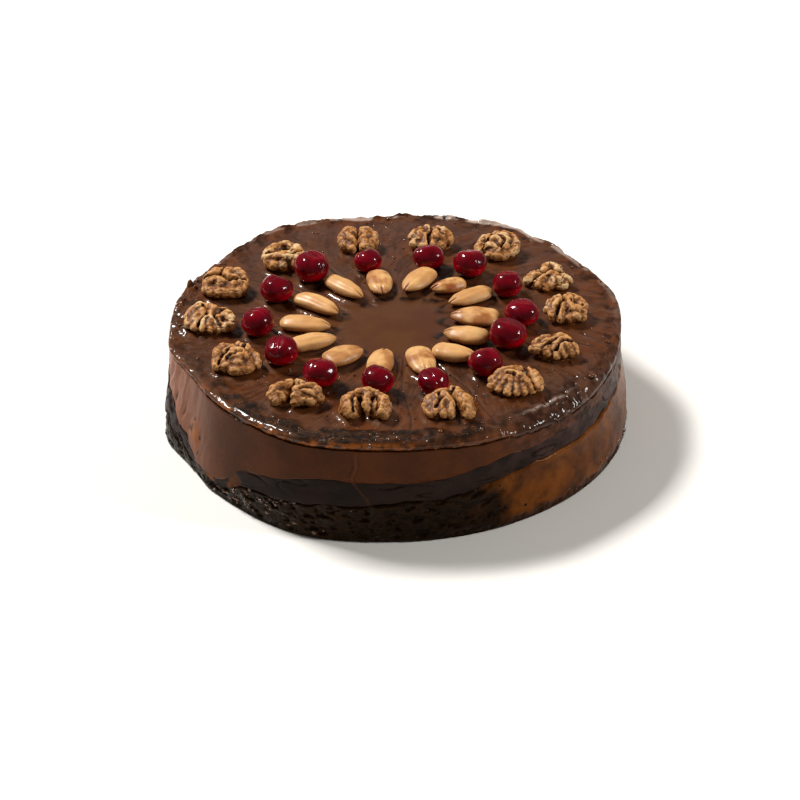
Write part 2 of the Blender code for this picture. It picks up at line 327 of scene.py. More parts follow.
def side_radius(angles, heights):
    """Radius of the side at a height, in mm. Under FOOT_ROUND it grows no wider."""
    share = 1 - np.maximum(heights, FOOT_ROUND) / TOP_HEIGHT
    pool = around(FOOT_SPREAD, angles) * ease((share - 0.4) / 0.3)
    return rim_radius(angles) + (FOOT_RADIUS - RIM_RADIUS) * share + pool - MARGIN


def top_height(angles, inset):
    """Height of the top at an inset from the rim, where it rolls over into the side, in mm."""
    width = around(SHOULDER, angles)
    share = np.minimum(inset / width, 1)
    return TOP_HEIGHT - SHOULDER_DROP * width * (1 - np.sqrt(1 - (1 - share) ** 2))


whole_rim = rim_radius(np.arange(360))
print("rim from", whole_rim.min().round(1), "to", whole_rim.max().round(1), "mm")

# %% [markdown]
# ## Walnut halves
# A walnut half is a crumpled kernel: rounded worms that wind, fork and fold, with deep clefts between them.
# It could be one dome with a noise displacement, but then all fourteen would look like pebbles. Here each
# kernel is laid out as a modeller would roll it from clay: worms of overlapping balls, each listed as points
# of a path (right, back, up, and the ball's radius, in mm from the middle of the kernel's solid). They lie
# over a flat core, or over two where the halves of the kernel part. A voxel remesh melts the balls into one
# skin, smoothing rounds the joins, and a fine noise wrinkles it.

# %% Worms of the fourteen kernels
KERNELS = {
    1: (
        ((-9, -3, 5, 3.2), (-8, 1, 7.5, 3), (-5, 5, 8.4, 3), (0.5, 7.5, 8.4, 3), (6, 4.5, 8, 3),
         (8, -1, 7, 3.2)),
        ((-8, -4, 7, 2.8), (-3, -5, 8, 2.4), (1, -5.5, 8.2, 2.6), (6, -5.5, 6.5, 2.8)),
        ((-8.5, -6, 4, 3), (-5, -9, 3.8, 3)),
        ((0, -6, 6, 2.6), (0, -9.8, 3.6, 2.8)),
        ((4.5, -6, 5.5, 2.6), (6, -8.5, 3.6, 3)),
        ((-6, 7.5, 4, 3.4), (0, 9, 4, 3.4), (6, 7, 4, 3.4)),
    ),
    2: (
        ((-11.5, -1, 5.5, 3), (-11, 3, 6.5, 3), (-7.5, 6, 7.8, 3.2), (-2, 7.5, 8.2, 2.8)),
        ((1.5, 8, 8.2, 3), (7, 6.5, 8, 3.2), (11, 2, 6.8, 3), (11.5, -3, 5.4, 2.8)),
        ((0, 4.2, 8.6, 2.6), (2.4, 1.2, 9, 2.6), (6, -0.4, 8.8, 2.8), (8, -3.2, 7.6, 2.6),
         (5, -4.6, 7.4, 2.4)),
        ((-10.5, -3, 6.2, 2.6), (-6, -0.8, 8, 2.8), (-2.6, -2.6, 8.4, 2.6), (-4, -5.2, 6.8, 2.4)),
        ((-11.5, -5.5, 4, 3.2), (-7, -8.4, 4.2, 3.4), (-1, -9.6, 4.4, 3.4), (5, -9.2, 4.3, 3.4),
         (10.6, -6, 4, 3.2)),
    ),
    3: (
        ((-13, 1, 5, 3), (-11, 4, 7, 2.8), (-7, 7, 8, 2.8), (-4, 5.4, 8.8, 2.4)),
        ((-12.5, -4, 4.4, 2.8), (-8.5, -1.5, 7.4, 2.6), (-5, 1.5, 9, 2.4)),
        ((-1, 6, 8, 2.4), (1.4, 3.4, 9, 2.4), (0, 0, 8.6, 2.2)),
        ((4.4, 4, 7.6, 2.4), (7.8, 2.6, 7.6, 2.6), (10, 0, 7.4, 2.4)),
        ((-8, -4, 6.6, 2.2), (-9.4, -7, 4, 2.4)),
        ((-4, -3.6, 7.4, 2.2), (-4.6, -8.6, 3.8, 2.4)),
        ((0, -3.4, 7.4, 2.2), (-0.4, -9.4, 3.6, 2.4)),
        ((3.6, -3, 7.2, 2.2), (4, -9, 3.6, 2.4)),
        ((7, -2, 8, 2.8), (11.4, -3.4, 7, 3), (12.4, -6.6, 4.6, 2.8), (8.4, -7.6, 4.6, 3)),
    ),
    4: (
        ((-10.6, -7.6, 3.8, 2.8), (-12, -3, 5, 2.8), (-11.4, 2.4, 6.8, 3), (-8, 6.4, 8, 3),
         (-3.4, 6, 8.4, 2.6)),
        ((1.4, 8.2, 7.4, 2.8), (5.6, 6.2, 7.8, 3), (7, 2.4, 8, 2.6)),
        ((-5.4, 1.4, 8.4, 2.6), (-1, 2.4, 8.8, 2.6), (3, 0.6, 8.8, 2.6)),
        ((9.6, 1.6, 7, 2.8), (12.6, -1.4, 6, 2.8), (12.8, -5.6, 4.2, 2.8)),
        ((-6.6, -5, 6.6, 2.6), (-3, -3.2, 8.2, 2.6), (1.6, -3.6, 8.4, 2.6), (6, -3, 8, 2.8),
         (8.6, -5.6, 6.4, 2.8)),
        ((-6, -8.2, 4.2, 3), (-1, -7.2, 6.4, 2.6), (3.6, -7.8, 6, 2.6)),
        ((-2, -10.4, 3.6, 3), (3.6, -10.6, 3.6, 3), (8.6, -8.8, 3.8, 3)),
    ),
    5: (
        ((-10.6, -6, 3.8, 3), (-13, -3, 5.2, 2.8), (-11.8, 0.6, 6.8, 2.8), (-8, 3, 8, 2.8), (-4, 5, 8.4, 2.6),
         (0, 5.4, 8.6, 2.4), (3.4, 3.4, 8.6, 2.4)),
        ((-9, -2.6, 6, 2.6), (-7, -5, 4.2, 2.4)),
        ((-6, 6.6, 5, 3), (0, 7.4, 5, 3), (6, 5.4, 5, 3)),
        ((1, -2.4, 8, 2.8), (4, 0, 9, 2.4), (8, 2, 8.6, 2.4), (11.6, -0.6, 7.2, 2.8), (12.8, -4.4, 4.8, 2.8)),
        ((0, -5.8, 6, 2.8), (4.6, -4, 8, 2.6), (8.8, -4.6, 6.8, 2.6)),
        ((-0.6, -8.6, 3.4, 2.6), (3.4, -8, 4.8, 2.4), (8.4, -8, 3.8, 2.8)),
    ),
    6: (
        ((-8.8, 4, 6.4, 3.2), (-9.2, 0, 7.4, 3.4), (-8.6, -4.4, 6.6, 3.6), (-7.8, -8.2, 4.2, 3.4)),
        ((8.6, 3.4, 6.6, 3.2), (9.8, -0.6, 7.4, 3.4), (9.8, -5, 6, 3.6), (9, -8, 4.2, 3.4)),
        ((0.8, 7, 8.6, 2.6), (1, 2.4, 8.4, 2.2), (0.6, -2.6, 6.6, 2), (0.6, -5.4, 4.6, 1.8)),
        ((-8.4, 4.4, 6.8, 2.8), (-4, 6.6, 8.2, 2.6), (0.8, 8, 8.8, 2.6), (5, 6.6, 8.2, 2.6),
         (8.4, 4, 7, 2.8)),
        ((-6.8, 1, 8.4, 2.2), (-6.4, -4, 7.2, 2)),
        ((-5, 7.6, 4, 3.2), (1, 8.4, 4.4, 3.2), (6, 7.2, 4, 3.2)),
    ),
    7: (
        ((1.8, 7, 8.4, 3), (4.6, 3.4, 8.8, 3.4), (7.6, -1, 8, 3.8), (9.8, -5.6, 5.6, 3.6), (10, -8, 4, 3.2)),
        ((-2.4, 6, 8, 2.6), (-6.6, 4.2, 7.8, 2.8), (-10.8, 1, 6.6, 2.8), (-12.6, -2.6, 5, 2.8)),
        ((-3, 2.6, 9, 2.4), (-1, -1.2, 8.8, 2.2), (0.6, -5.6, 6.8, 2.2), (0.8, -9.6, 4, 2.2)),
        ((-6.6, 0.6, 8.4, 2.4), (-4.6, -3.6, 7.6, 2.2), (-3.4, -9, 4, 2.4)),
        ((-9.6, -2, 6.8, 2.4), (-8, -7, 4.4, 2.8)),
        ((-12, -5.6, 3.8, 2.6), (-10.4, -6.8, 3.6, 2.6)),
        ((6, 5.6, 4.6, 3), (10.6, 1.6, 4.4, 3)),
    ),
    8: (
        ((-12.6, 0, 5, 3), (-9, 4, 7, 2.8), (-5, 6, 7.6, 2.8), (-0.6, 7, 7.8, 2.8), (3.4, 6.8, 7.8, 2.6)),
        ((6.6, 5.6, 7.8, 2.8), (10.2, 2.6, 7.4, 3), (12.6, -1.4, 6, 2.8), (13.2, -5, 4.2, 2.6)),
        ((-4.4, 2.6, 8.8, 2.6), (-1, 0.6, 9.2, 2.6), (2.4, -1, 9, 2.4), (5.6, -3.6, 7.6, 2.4)),
        ((-7.6, 0.6, 7.6, 2.4), (-13.4, -3.6, 4, 2.4)),
        ((-5, -1.4, 7.8, 2), (-9.8, -6.4, 3.8, 2.2)),
        ((-2.6, -2.4, 7.8, 2), (-5, -8.6, 3.6, 2.2)),
        ((0.4, -3, 7.6, 2), (0.2, -9.4, 3.6, 2.2)),
        ((3, -4, 7, 2), (4.8, -9, 3.6, 2.2)),
        ((5.6, -4.6, 6.4, 2), (8.6, -7, 3.8, 2.2)),
    ),
    9: (
        ((-13, -2.4, 4.6, 2.8), (-9.4, -3.2, 6.2, 3), (-5, -4, 6.4, 2.8), (-4.6, -6, 4, 2.6)),
        ((-11, 1.4, 5.6, 2.8), (-7.6, 3.2, 7.4, 2.6), (-3.6, 4.6, 8, 2.4)),
        ((-7, 0, 7.8, 2.2), (-3.4, 0.8, 8.6, 2.2)),
        ((0.4, 5.6, 8, 2), (4.6, 4.6, 8.4, 2.2), (8.6, 2, 7.8, 2.2), (11.2, -1.4, 6, 2.2),
         (12.6, -4.4, 4, 2)),
        ((0, 2, 8.8, 2), (4, 0.6, 8.8, 2.2), (7.2, -2.4, 7.4, 2.2), (9.4, -6, 4, 2.2)),
        ((-0.4, -1.4, 8, 2), (3, -3.4, 7.4, 2.2), (5.4, -7, 4, 2.2)),
        ((-1, -4, 6.4, 2), (1, -7.6, 3.6, 2.2)),
        ((4, 6.6, 4, 2.8), (10, 3.6, 4, 2.6)),
    ),
    10: (
        ((-10.6, -0.6, 5.6, 2.8), (-9.4, 3, 6.8, 2.8), (-5.6, 6, 7.8, 2.8), (-1.4, 7, 8, 2.4)),
        ((1.8, 7.8, 8.2, 2.4), (1.6, 4, 9, 2.4), (1.4, 0, 9, 2.4), (2.6, -3.6, 8, 2.4)),
        ((4.4, 6.6, 8, 2.4), (8.4, 4.6, 7.6, 2.6), (10.4, 0, 6.8, 2.6), (9.4, -4, 5.8, 2.6),
         (5.6, -3.4, 7.6, 2.4)),
        ((-4.4, 2.8, 8.8, 2.4), (-7, -0.4, 8, 2.4), (-8.8, -5, 5.4, 2.6), (-8.6, -7, 3.8, 2.6)),
        ((-3, -1.2, 8.6, 2.4), (-3.6, -5, 7, 2.4), (-3.8, -8.8, 4, 2.6)),
        ((0.8, -8.6, 4.2, 2.8), (4.8, -7.6, 5, 2.8), (8.8, -6, 4, 2.8)),
        ((-6, 7.4, 4, 3.2), (0, 8.6, 4, 3.2), (6, 7.4, 4, 3.2)),
    ),
    11: (
        ((-1.6, 1.6, 8.8, 2.6), (-1.4, 5, 9, 2.6), (2, 7, 8.8, 2.8), (5.6, 5.4, 8.6, 2.6),
         (6.4, 1.6, 8.4, 2.6)),
        ((1.4, -1.4, 8.6, 2.6), (4, -2.4, 8.2, 2.6)),
        ((-13, -2.6, 4.2, 2.8), (-9.6, -0.6, 6, 2.8), (-6.4, 1, 6.6, 2.6), (-7, -3.6, 4.4, 2.6)),
        ((13, -3.2, 4.6, 2.6), (9.4, -3, 6.6, 2.8), (6, -5.4, 6.4, 2.6)),
        ((-2.8, -4, 7, 2.6), (-4.8, -7.6, 4.4, 3), (-1.4, -9, 3.8, 2.8), (2.6, -8, 4.2, 2.6),
         (3, -5.4, 6.4, 2.2)),
        ((9.6, -7, 3.6, 2.6), (5.8, -8.4, 3.4, 2.6)),
        ((-4, 5.4, 4.4, 3), (2, 7.6, 4.4, 3), (8, 3.4, 4.4, 3)),
    ),
    12: (
        ((-2.6, 8, 7, 2.4), (-7, 5, 7.2, 2.4), (-10.2, 0.4, 6.2, 2.4), (-11.4, -4.4, 4.4, 2.4),
         (-11, -7, 3.4, 2.2)),
        ((0.4, 9.6, 7.2, 2.8), (5, 9.6, 7.4, 2.8), (9.2, 6.4, 7.2, 2.8), (11, 1.4, 6.4, 2.8),
         (10.8, -4, 5.2, 2.8),
         (8.6, -8.4, 4, 2.8)),
        ((1, 5.4, 8.6, 2.4), (5.6, 5, 8.8, 2.4), (6.6, 0.6, 8.6, 2.4)),
        ((-3.8, 1.6, 8, 2.6), (0.4, 0.8, 9.2, 2.6), (2.6, -3, 8.6, 2.4), (5.6, -5.8, 6.6, 2.4)),
        ((-5.4, -3.4, 6.6, 2.8), (-2, -5.4, 7.2, 2.8), (0.6, -8.6, 5, 2.8)),
        ((-4.6, -9, 4, 3), (0, -10.6, 3.6, 3), (5, -10, 3.6, 2.8)),
    ),
    13: (
        ((-10, -1, 6, 2.8), (-8.6, 3.2, 7, 2.6), (-5.4, 5.6, 7.6, 2.4)),
        ((-4.8, 1.6, 8.6, 2.6), (-6.4, -3, 7.2, 2.4), (-9.4, -5.6, 4.4, 2.8)),
        ((-1.2, 7, 8, 2.6), (0.4, 3.4, 9, 2.4)),
        ((3.4, 0.4, 9, 2.6), (3, -3.6, 8.2, 2.6)),
        ((4.4, 6.8, 7.8, 2.6), (7.2, 4.4, 8, 2.6), (10, 1.4, 6.8, 2.6), (10.6, -3, 5, 2.8)),
        ((7.2, -1, 7.8, 2.4), (7.4, -5.4, 5.4, 2.6), (5.6, -8, 4, 2.8)),
        ((-2.4, -1.6, 8.2, 2.2), (-2.4, -5.6, 6, 2.4), (-4.6, -7.8, 4, 2.8)),
        ((0.6, -8.2, 4, 2.8), (2, -6, 6, 2.2)),
        ((-6, 7.4, 4, 3), (2, 8.2, 4, 3), (8, 5.4, 4, 3)),
    ),
    14: (
        ((-2.8, 7.4, 6.8, 2.8), (-6.6, 7, 6.8, 3), (-9.6, 3.4, 6.2, 3), (-10.4, -1.4, 5.4, 2.8),
         (-8.4, -5.8, 4.4, 3),
         (-4, -8.4, 3.8, 3)),
        ((-3, 3.4, 8.4, 2.6), (-6.2, 1, 8, 2.6), (-4.4, -2.8, 7.4, 2.6), (-2.8, -5.4, 6, 2.6)),
        ((2.8, 7.6, 6.8, 2.6), (6.6, 6.4, 7, 2.8), (9.4, 2.6, 6.6, 2.8), (9.8, -2.4, 5.4, 2.8),
         (7.4, -6.4, 4.2, 3),
         (3.4, -8.2, 3.8, 2.8)),
        ((2.6, 3, 8.6, 2.4), (5.6, 0.6, 8.2, 2.6), (3.2, -2.4, 7.6, 2.4), (4.6, -4.8, 6, 2.6)),
        ((0, 6.4, 5, 2.6), (0, 2, 5.6, 2), (0, -3, 4, 2)),
    ),
}
print("kernels:", len(KERNELS), "worms:", sum(len(worms) for worms in KERNELS.values()))

# %% [markdown]
# Clefts part the lobes of a kernel. They are cut after the melting, as winding lines seen from above, so that
# they stay deep and sharp while the worms between them run together.

# %% Clefts of the fourteen kernels
# Points of each line (right, back) in mm from the middle
CLEFTS = {
    1: (((-9, -2), (-3, -2.4), (3, -1.6), (9, -1)), ((0, 3.4), (2, 2.6))),
    2: (((-1, 8.6), (-3.4, 3.4), (0, -0.8), (6, -2.6), (12, -1.4)), ((-13, 1), (-8, 3.2), (-4, 2.6))),
    3: (((-7, -8), (-2.4, -1), (-5, 6)), ((5, -8), (1.6, -2), (6, 2), (11, 3))),
    4: (((-10, -8), (-6.6, -1), (-2, 3.6), (4, 3.2), (5.4, 8)), ((-5, -5.4), (0, -2.4), (4, -1.4))),
    5: (((-1, 7), (-1.4, 1), (-4, -4), (-5, -9)), ((2.4, -3), (8, -1.2))),
    6: (((-6, -9), (-6.4, -2), (-5.6, 3)), ((6, -9), (6.6, -2), (6, 2))),
    7: (((2.4, 9), (1, 2), (4.4, -4), (5.4, -10)), ((-8, -6), (-5, -1), (-6.4, 3))),
    8: (((5.6, 8), (6.6, 2), (9, -3), (10.4, -7)), ((-5, 1), (-1, -1))),
    9: (((-8, -5.4), (-3, -1.4), (1.6, 1.8), (6, 4.6)), ((0, -6), (4, -1.2), (10, 0.6))),
    10: (((-2.4, 9), (-2, 3), (-4.6, -1), (-5.6, -7)), ((2.4, 2.4), (5, -1.2), (8.6, -1))),
    11: (((-9, -4), (-3, -2), (2, 1.2), (8, -1)),),
    12: (((-2.6, 9), (-4.8, 1.6), (-8, -5)), ((1.4, 3), (4.6, -1), (2.6, -6))),
    13: (((0.4, 8), (1.4, 2), (-1, -2.4), (-0.6, -9)), ((4.4, 3.4), (6.4, -1.6))),
    14: (((0, 9), (0.4, 3), (-0.4, -3), (0, -10)),),
}
CLEFT_DEPTH = 2.8 * MM
CLEFT_HALF_WIDTH = 0.75 * MM
print("clefts:", sum(len(lines) for lines in CLEFTS.values()))


def line_distance(points, line):
    """Distance from each point, seen from above, to a line of straight runs."""
    nearest = np.full(len(points), np.inf)
    for start, end in zip(line, line[1:]):
        start, end = np.array(start, float), np.array(end, float)
        share = np.clip((points - start) @ (end - start) / ((end - start) @ (end - start)), 0, 1)
        nearest = np.minimum(nearest, np.linalg.norm(points - start - np.outer(share, end - start), axis=1))
    return nearest


def cut_clefts(points, middle, number):
    """How far each point sinks where a winding cleft passes, in metres."""
    seen = (points[:, :2] - np.array(middle[:2])) / MM
    winding = np.stack([bumps(points, 5 * MM, 2, seed + number) for seed in (70, 90)], axis=1)
    seen = seen + 0.7 * winding
    distance = np.min([line_distance(seen, line) for line in CLEFTS[number]], axis=0) * MM
    return CLEFT_DEPTH * bell(distance, CLEFT_HALF_WIDTH) * ease((points[:, 2] - middle[2]) / (5 * MM))


# %% [markdown]
# The balls are small icospheres, added in edit mode so that they all land in one mesh. They are set closer
# together than their own radius, so the remesh finds no gap between them. The last step stretches the kernel
# to the box of its solid.

# %% Roll the worms and melt them together
VOXEL = 0.52 * MM
# Distance from ball to ball along a worm, as a share of its radius
BALL_SPACING = 0.4
PLUMP = 1.12
# Kernels with two separate halves, each with its own core, and the shares of the solid's size for the cores
TWO_LOBED = (5, 6, 7, 14)
CORE_REACH = (0.45, 0.44, 0.80)
# How much of the skin has rubbed off the crests of a kernel
RUBBED = {1: 0.8, 3: 1.0, 10: 0.5, 11: 0.9, 12: 0.6, 13: 0.5}


def balls_along(path, draw):
    """Places and radii of overlapping, slightly uneven balls along a path of (right, back, up, radius)."""
    for start, end in zip(path, path[1:] + (path[-1],)):
        start, end = np.array(start, float), np.array(end, float)
        steps = max(1, round(float(np.linalg.norm(end[:3] - start[:3])) / (BALL_SPACING * start[3])))
        for step in range(steps):
            x, y, z, radius = start + (end - start) * step / steps
            shift = [draw.gauss(0, 0.2) for _ in range(3)]
            yield x + shift[0], y + shift[1], z + shift[2] / 2, radius * PLUMP * draw.uniform(0.94, 1.05)


def roll_worms(name, worms, middle, size, two_lobed, seed):
    """One mesh of overlapping balls: one flat core or two, then the worms over it."""
    draw = random.Random(seed)
    bpy.ops.object.select_all(action="DESELECT")
    bpy.ops.mesh.primitive_ico_sphere_add(subdivisions=2, radius=1 * MM, location=middle)
    piece = bpy.context.object
    piece.name = name
    bpy.ops.object.transform_apply(location=True, rotation=True, scale=True)
    bpy.ops.object.mode_set(mode="EDIT")
    core = Vector(CORE_REACH) * size
    for side in (-1, 1) if two_lobed else (0,):
        place = middle + Vector((side * 0.27 * size.x, 0, 0))
        reach = (core.x * 0.5, core.y * 0.95, core.z * 0.9) if two_lobed else core
        bpy.ops.mesh.primitive_ico_sphere_add(subdivisions=3, radius=1, location=place, scale=reach)
    for path in worms:
        for x, y, z, radius in balls_along(path, draw):
            place = middle + Vector((x, y, z)) * MM
            bpy.ops.mesh.primitive_ico_sphere_add(subdivisions=2, radius=radius * MM, location=place)
    bpy.ops.object.mode_set(mode="OBJECT")
    return piece


def fit_to_solid(piece, node):
    """Scales and moves the points so that the piece fills its solid's box."""
    low, high = (np.array(corner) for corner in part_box(node))
    points = points_of(piece)
    share = (points - points.min(axis=0)) / (points.max(axis=0) - points.min(axis=0))
    move_points(piece, low + share * (high - low))


def creases(points, size, width, seed):
    """Thin winding creases: 1 in a crease and 0 beside it, along the lines where a noise changes its sign."""
    return bell(bumps(points, size, 2, seed), width)


def push_along_normals(piece, amount):
    """Moves each point along its normal by its own amount in metres."""
    normals = np.empty(len(amount) * 3, dtype=np.float32)
    piece.data.vertices.foreach_get("normal", normals)
    move_points(piece, points_of(piece) + normals.reshape(-1, 3) * amount[:, None])


def make_kernel(number):
    """One walnut half in the place of its solid."""
    node = f"walnut_{number:02d}"
    name = f"walnut_half_{number:02d}"
    low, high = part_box(node)
    size = high - low
    middle = Vector(((low.x + high.x) / 2, (low.y + high.y) / 2, low.z))
    piece = roll_worms(name, KERNELS[number], middle, size, number in TWO_LOBED, number)
    apply_modifier(piece, "REMESH", mode="VOXEL", voxel_size=VOXEL)
    apply_modifier(piece, "SMOOTH", factor=0.5, iterations=7)
    points = points_of(piece)
    points[:, 2] -= cut_clefts(points, middle, number)
    # The flat side that lies on the cake
    points[:, 2] = np.maximum(points[:, 2], low.z)
    move_points(piece, points)
    relief = 0.70 * bumps(points, 6 * MM, 3, number + 20) + 0.14 * bumps(points, 1.8 * MM, 2, number)
    broad, fine = creases(points, 7 * MM, 0.09, number + 40), creases(points, 3 * MM, 0.12, number + 60)
    push_along_normals(piece, (relief - (0.30 * broad + 0.14 * fine)) * MM)
    fit_to_solid(piece, node)
    # Painted shade: how deep each point lies in a fold, so that the skin's ramp can darken it
    depth = hollows(piece, 12) / (1.3 * MM) + hollows(piece, 70) / (5.0 * MM)
    paint(piece, "fold_shade", np.clip(0.44 + depth, 0, 1))
    paint(piece, "rubbed", np.full(len(points), RUBBED.get(number, 0.15)))
    piece.data.shade_smooth()
    ride_root(piece, "walnut", node)
    return piece


walnuts = [make_kernel(number) for number in KERNELS]
count_faces("walnut halves", *walnuts)

# %% [markdown]
# ## Walnut skin
# A kernel wears a thin papery skin: tan on the crests and nearly cream where it has rubbed off. The painted
# depth of the folds drives a colour ramp that darkens them as painted shade, and two sizes of noise break it
# up. Their scales come from the real thing: patches of about 5 mm and a grain of 0.9 mm. The skin is satin,
# with very little jelly on it, so it gets a weak clear coat.

# %% Material of the walnuts
def walnut_skin():
    """Walnut kernel, skin on, satin. It looks dry and papery, with painted shade only in the folds."""
    material, tree, shader = new_material(
        "walnut_kernel_skin", Roughness=0.5, IOR=1.45, Specular_IOR_Level=0.2, Coat_Weight=0.06,
        Coat_Roughness=0.3
    )
    # Painted shade: the folds darken along the ramp; the crests also tell where the skin rubbed off
    fold_shade = painted(tree, "fold_shade")
    ramp = add(tree, "ShaderNodeValToRGB", None, {"Fac": times_plus(tree, clouds(tree, 5 * MM), 0.35, fold_shade)})
    stops = ramp.color_ramp.elements
    stops[0].position, stops[0].color = 0.30, srgb("bf8850")
    stops[1].position, stops[1].color = 1.0, srgb("381b09")
    for position, code in ((0.54, "875327"), (0.76, "5c3513")):
        stops.new(position).color = srgb(code)
    crest = between(tree, fold_shade, 0.42, 0.22)
    bare = times(tree, crest, between(tree, clouds(tree, 8 * MM, 2.0), 0.45, 0.6))
    bare = times(tree, bare, painted(tree, "rubbed"))
    grain = emboss(tree, clouds(tree, 0.9 * MM, 3.0), 0.4, 0.25 * MM)
    plug(shader, Base_Color=over(tree, bare, ramp.outputs["Color"], srgb("d8b482")), Normal=grain)
    return material


dress(walnut_skin(), *walnuts)

# %% [markdown]
# ## Rounding a solid
# Cherries and almonds already have the right form as solids, only with few faces. A copy of the solid is
# merged, because its triangles come loose, and its triangles are paired into quads. Subdivision Surface then
# rounds it and shrinks it a little, so it is fitted back to the box of its solid. After that its points are
# moved as a sculptor would push them.

# %% A rounded copy of a solid
def rounded_copy(node, name, levels):
    """A merged and subdivided copy of a solid, filling the same box."""
    piece = bpy.data.objects.new(name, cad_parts[node].data.copy())
    bpy.context.scene.collection.objects.link(piece)
    piece.data.materials.clear()
    only(piece)
    bpy.ops.mesh.customdata_custom_splitnormals_clear()
    bpy.ops.object.mode_set(mode="EDIT")
    bpy.ops.mesh.select_all(action="SELECT")
    bpy.ops.mesh.remove_doubles(threshold=0.01 * MM)
    bpy.ops.mesh.mark_sharp(clear=True)
    bpy.ops.mesh.tris_convert_to_quads()
    bpy.ops.object.mode_set(mode="OBJECT")
    apply_modifier(piece, "SUBSURF", levels=levels, render_levels=levels)
    fit_to_solid(piece, node)
    piece.data.shade_smooth()
    return piece


# %% [markdown]
# ## Candied cherries
# A candied cherry has been stoned and soaked in syrup: plump, but dented where the stalk sat, creased where
# the stoner went in, and slightly lumpy. Each one gets a dent, a crease that runs out of it, and low lumps,
# all placed by a seeded draw.

# %% Shape the cherries
# Where the dent of a cherry faces, if the draw doesn't choose it
DENTS = {
    1: (0.15, 0.1, 1.0), 4: (-0.3, -0.2, 1.0), 6: (0.5, 0.5, 0.8), 8: (-0.3, 0.5, 0.9),
    9: (0.45, 0.2, 0.9),
}


def make_cherry(number):
    """One cherry in the place of its solid."""
    node = f"cherry_{number:02d}"
    draw = random.Random(number)
    piece = rounded_copy(node, f"candied_cherry_{number:02d}", 3)
    points = points_of(piece)
    low, high = points.min(axis=0), points.max(axis=0)
    middle, radius = (low + high) / 2, float((high - low).mean() / 2)
    out = (points - middle) / radius
    length = np.linalg.norm(out, axis=1, keepdims=True)
    # Two thirds of the way to a ball, so that no facet of the solid shows
    out = out / length * (0.35 * length + 0.65 * np.array((high - low) / 2 / radius).mean())
    dent = Vector(DENTS.get(number, (draw.uniform(-0.6, 0.6), draw.uniform(-0.3, 0.8), 1.0))).normalized()
    across_dent = dent.cross(Vector((draw.uniform(-1, 1), draw.uniform(-1, 1), 0.3))).normalized()
    along = out @ np.array(dent)
    beside = out @ np.array(across_dent) + 0.06 * bumps(points, 6 * MM, 2, 50 + number)
    crease = bell(beside, 0.07) * ease((along + 0.1) / 0.8)
    dip = bell(1 - along, 0.14)
    lumps = bumps(points, 11 * MM, 2, 40 + number)
    facets = creases(points, 13 * MM, 0.16, 60 + number) * ease((along + 0.3) / 1.1)
    scale = 1 - 0.13 * dip - 0.05 * crease + 0.06 * lumps - 0.025 * facets
    move_points(piece, middle + out * scale[:, None] * radius)
    fit_to_solid(piece, node)
    # Light that has gone through the fruit brightens its lower front
    share = (points_of(piece)[:, 2] - low[2]) / (high[2] - low[2])
    glow = ease((share - 0.12) / 0.22) * ease((0.68 - share) / 0.3) * ease((0.55 - out[:, 1]) / 0.7)
    paint(piece, "glow", glow)
    ride_root(piece, "candied_cherry", node)
    return piece


cherries = [make_cherry(number) for number in range(1, 15)]
count_faces("cherries", *cherries)

# %% [markdown]
# ## Cherry finish
# Syrup makes the flesh translucent: light goes in and comes out deep red, and the edges look nearly black.
# That is subsurface scattering under a wet clear coat. Noise of 9 mm makes some of the flesh lighter, and the
# painted glow makes the lower front redder.

# %% Material of the cherries
def cherry_flesh():
    """Candied cherry, translucent flesh under wet syrup. It looks deep, with small sharp highlights."""
    material, tree, shader = new_material(
        "candied_cherry_flesh", Roughness=0.25, IOR=1.4, Specular_IOR_Level=0.05, Coat_Weight=0.7,
        Coat_Roughness=0.02, Coat_IOR=1.36, Subsurface_Weight=0.5, Subsurface_Scale=5 * MM,
        Subsurface_Radius=(1.0, 0.05, 0.04)
    )
    lighter = between(tree, clouds(tree, 9 * MM, 3.0), 0.25, 0.75)
    glow = times(tree, painted(tree, "glow"), between(tree, clouds(tree, 10 * MM, 2.0), 0.3, 0.6))
    ripple = emboss(tree, clouds(tree, 3 * MM, 2.0), 0.12, 0.3 * MM)
    colour = layered(tree, srgb("480009"), (lighter, "740012"), (glow, "b60018"))
    plug(shader, Base_Color=colour, Normal=ripple, Coat_Normal=ripple)
    return material


dress(cherry_flesh(), *cherries)

# %% [markdown]
# ## Blanched almonds
# A blanched almond is smooth and flattish, with faint flutes that run from end to end and a small split at
# the pointed end, where the two halves meet. The long axis is found from the points themselves: it is the
# direction in which they spread most, and its pointed end is the one with the thinner tip.

# %% Shape the almonds
FLUTES = 7
SPLIT_DEPTH = 1.3 * MM
SPLIT_WIDTH = 0.45 * MM
# How much each almond browned in the oven: 0 is pale, 1 is well toasted
TOAST = {5: 0.5, 6: 0.6, 7: 0.8, 9: 0.4, 10: 0.8, 12: 1.0, 14: 0.7, 13: 0.2, 3: 0.15, 11: 0.2, 2: 0.15}


def long_axis(points):
    """Middle of the points, unit vector towards the pointed end, and half the length."""
    middle = points.mean(axis=0)
    spread = points[:, :2] - middle[:2]
    directions = np.linalg.eigh(np.cov(spread.T))[1]
    axis = np.array((*directions[:, 1], 0.0))
    along = (points - middle) @ axis
    side = np.cross((0, 0, 1), axis)
    width = np.abs((points - middle) @ side)
    front, back = width[along > 0.7 * along.max()].max(), width[along < 0.7 * along.min()].max()
    if front > back:
        axis = -axis
    half = np.ptp(along) / 2
    return middle, axis, half


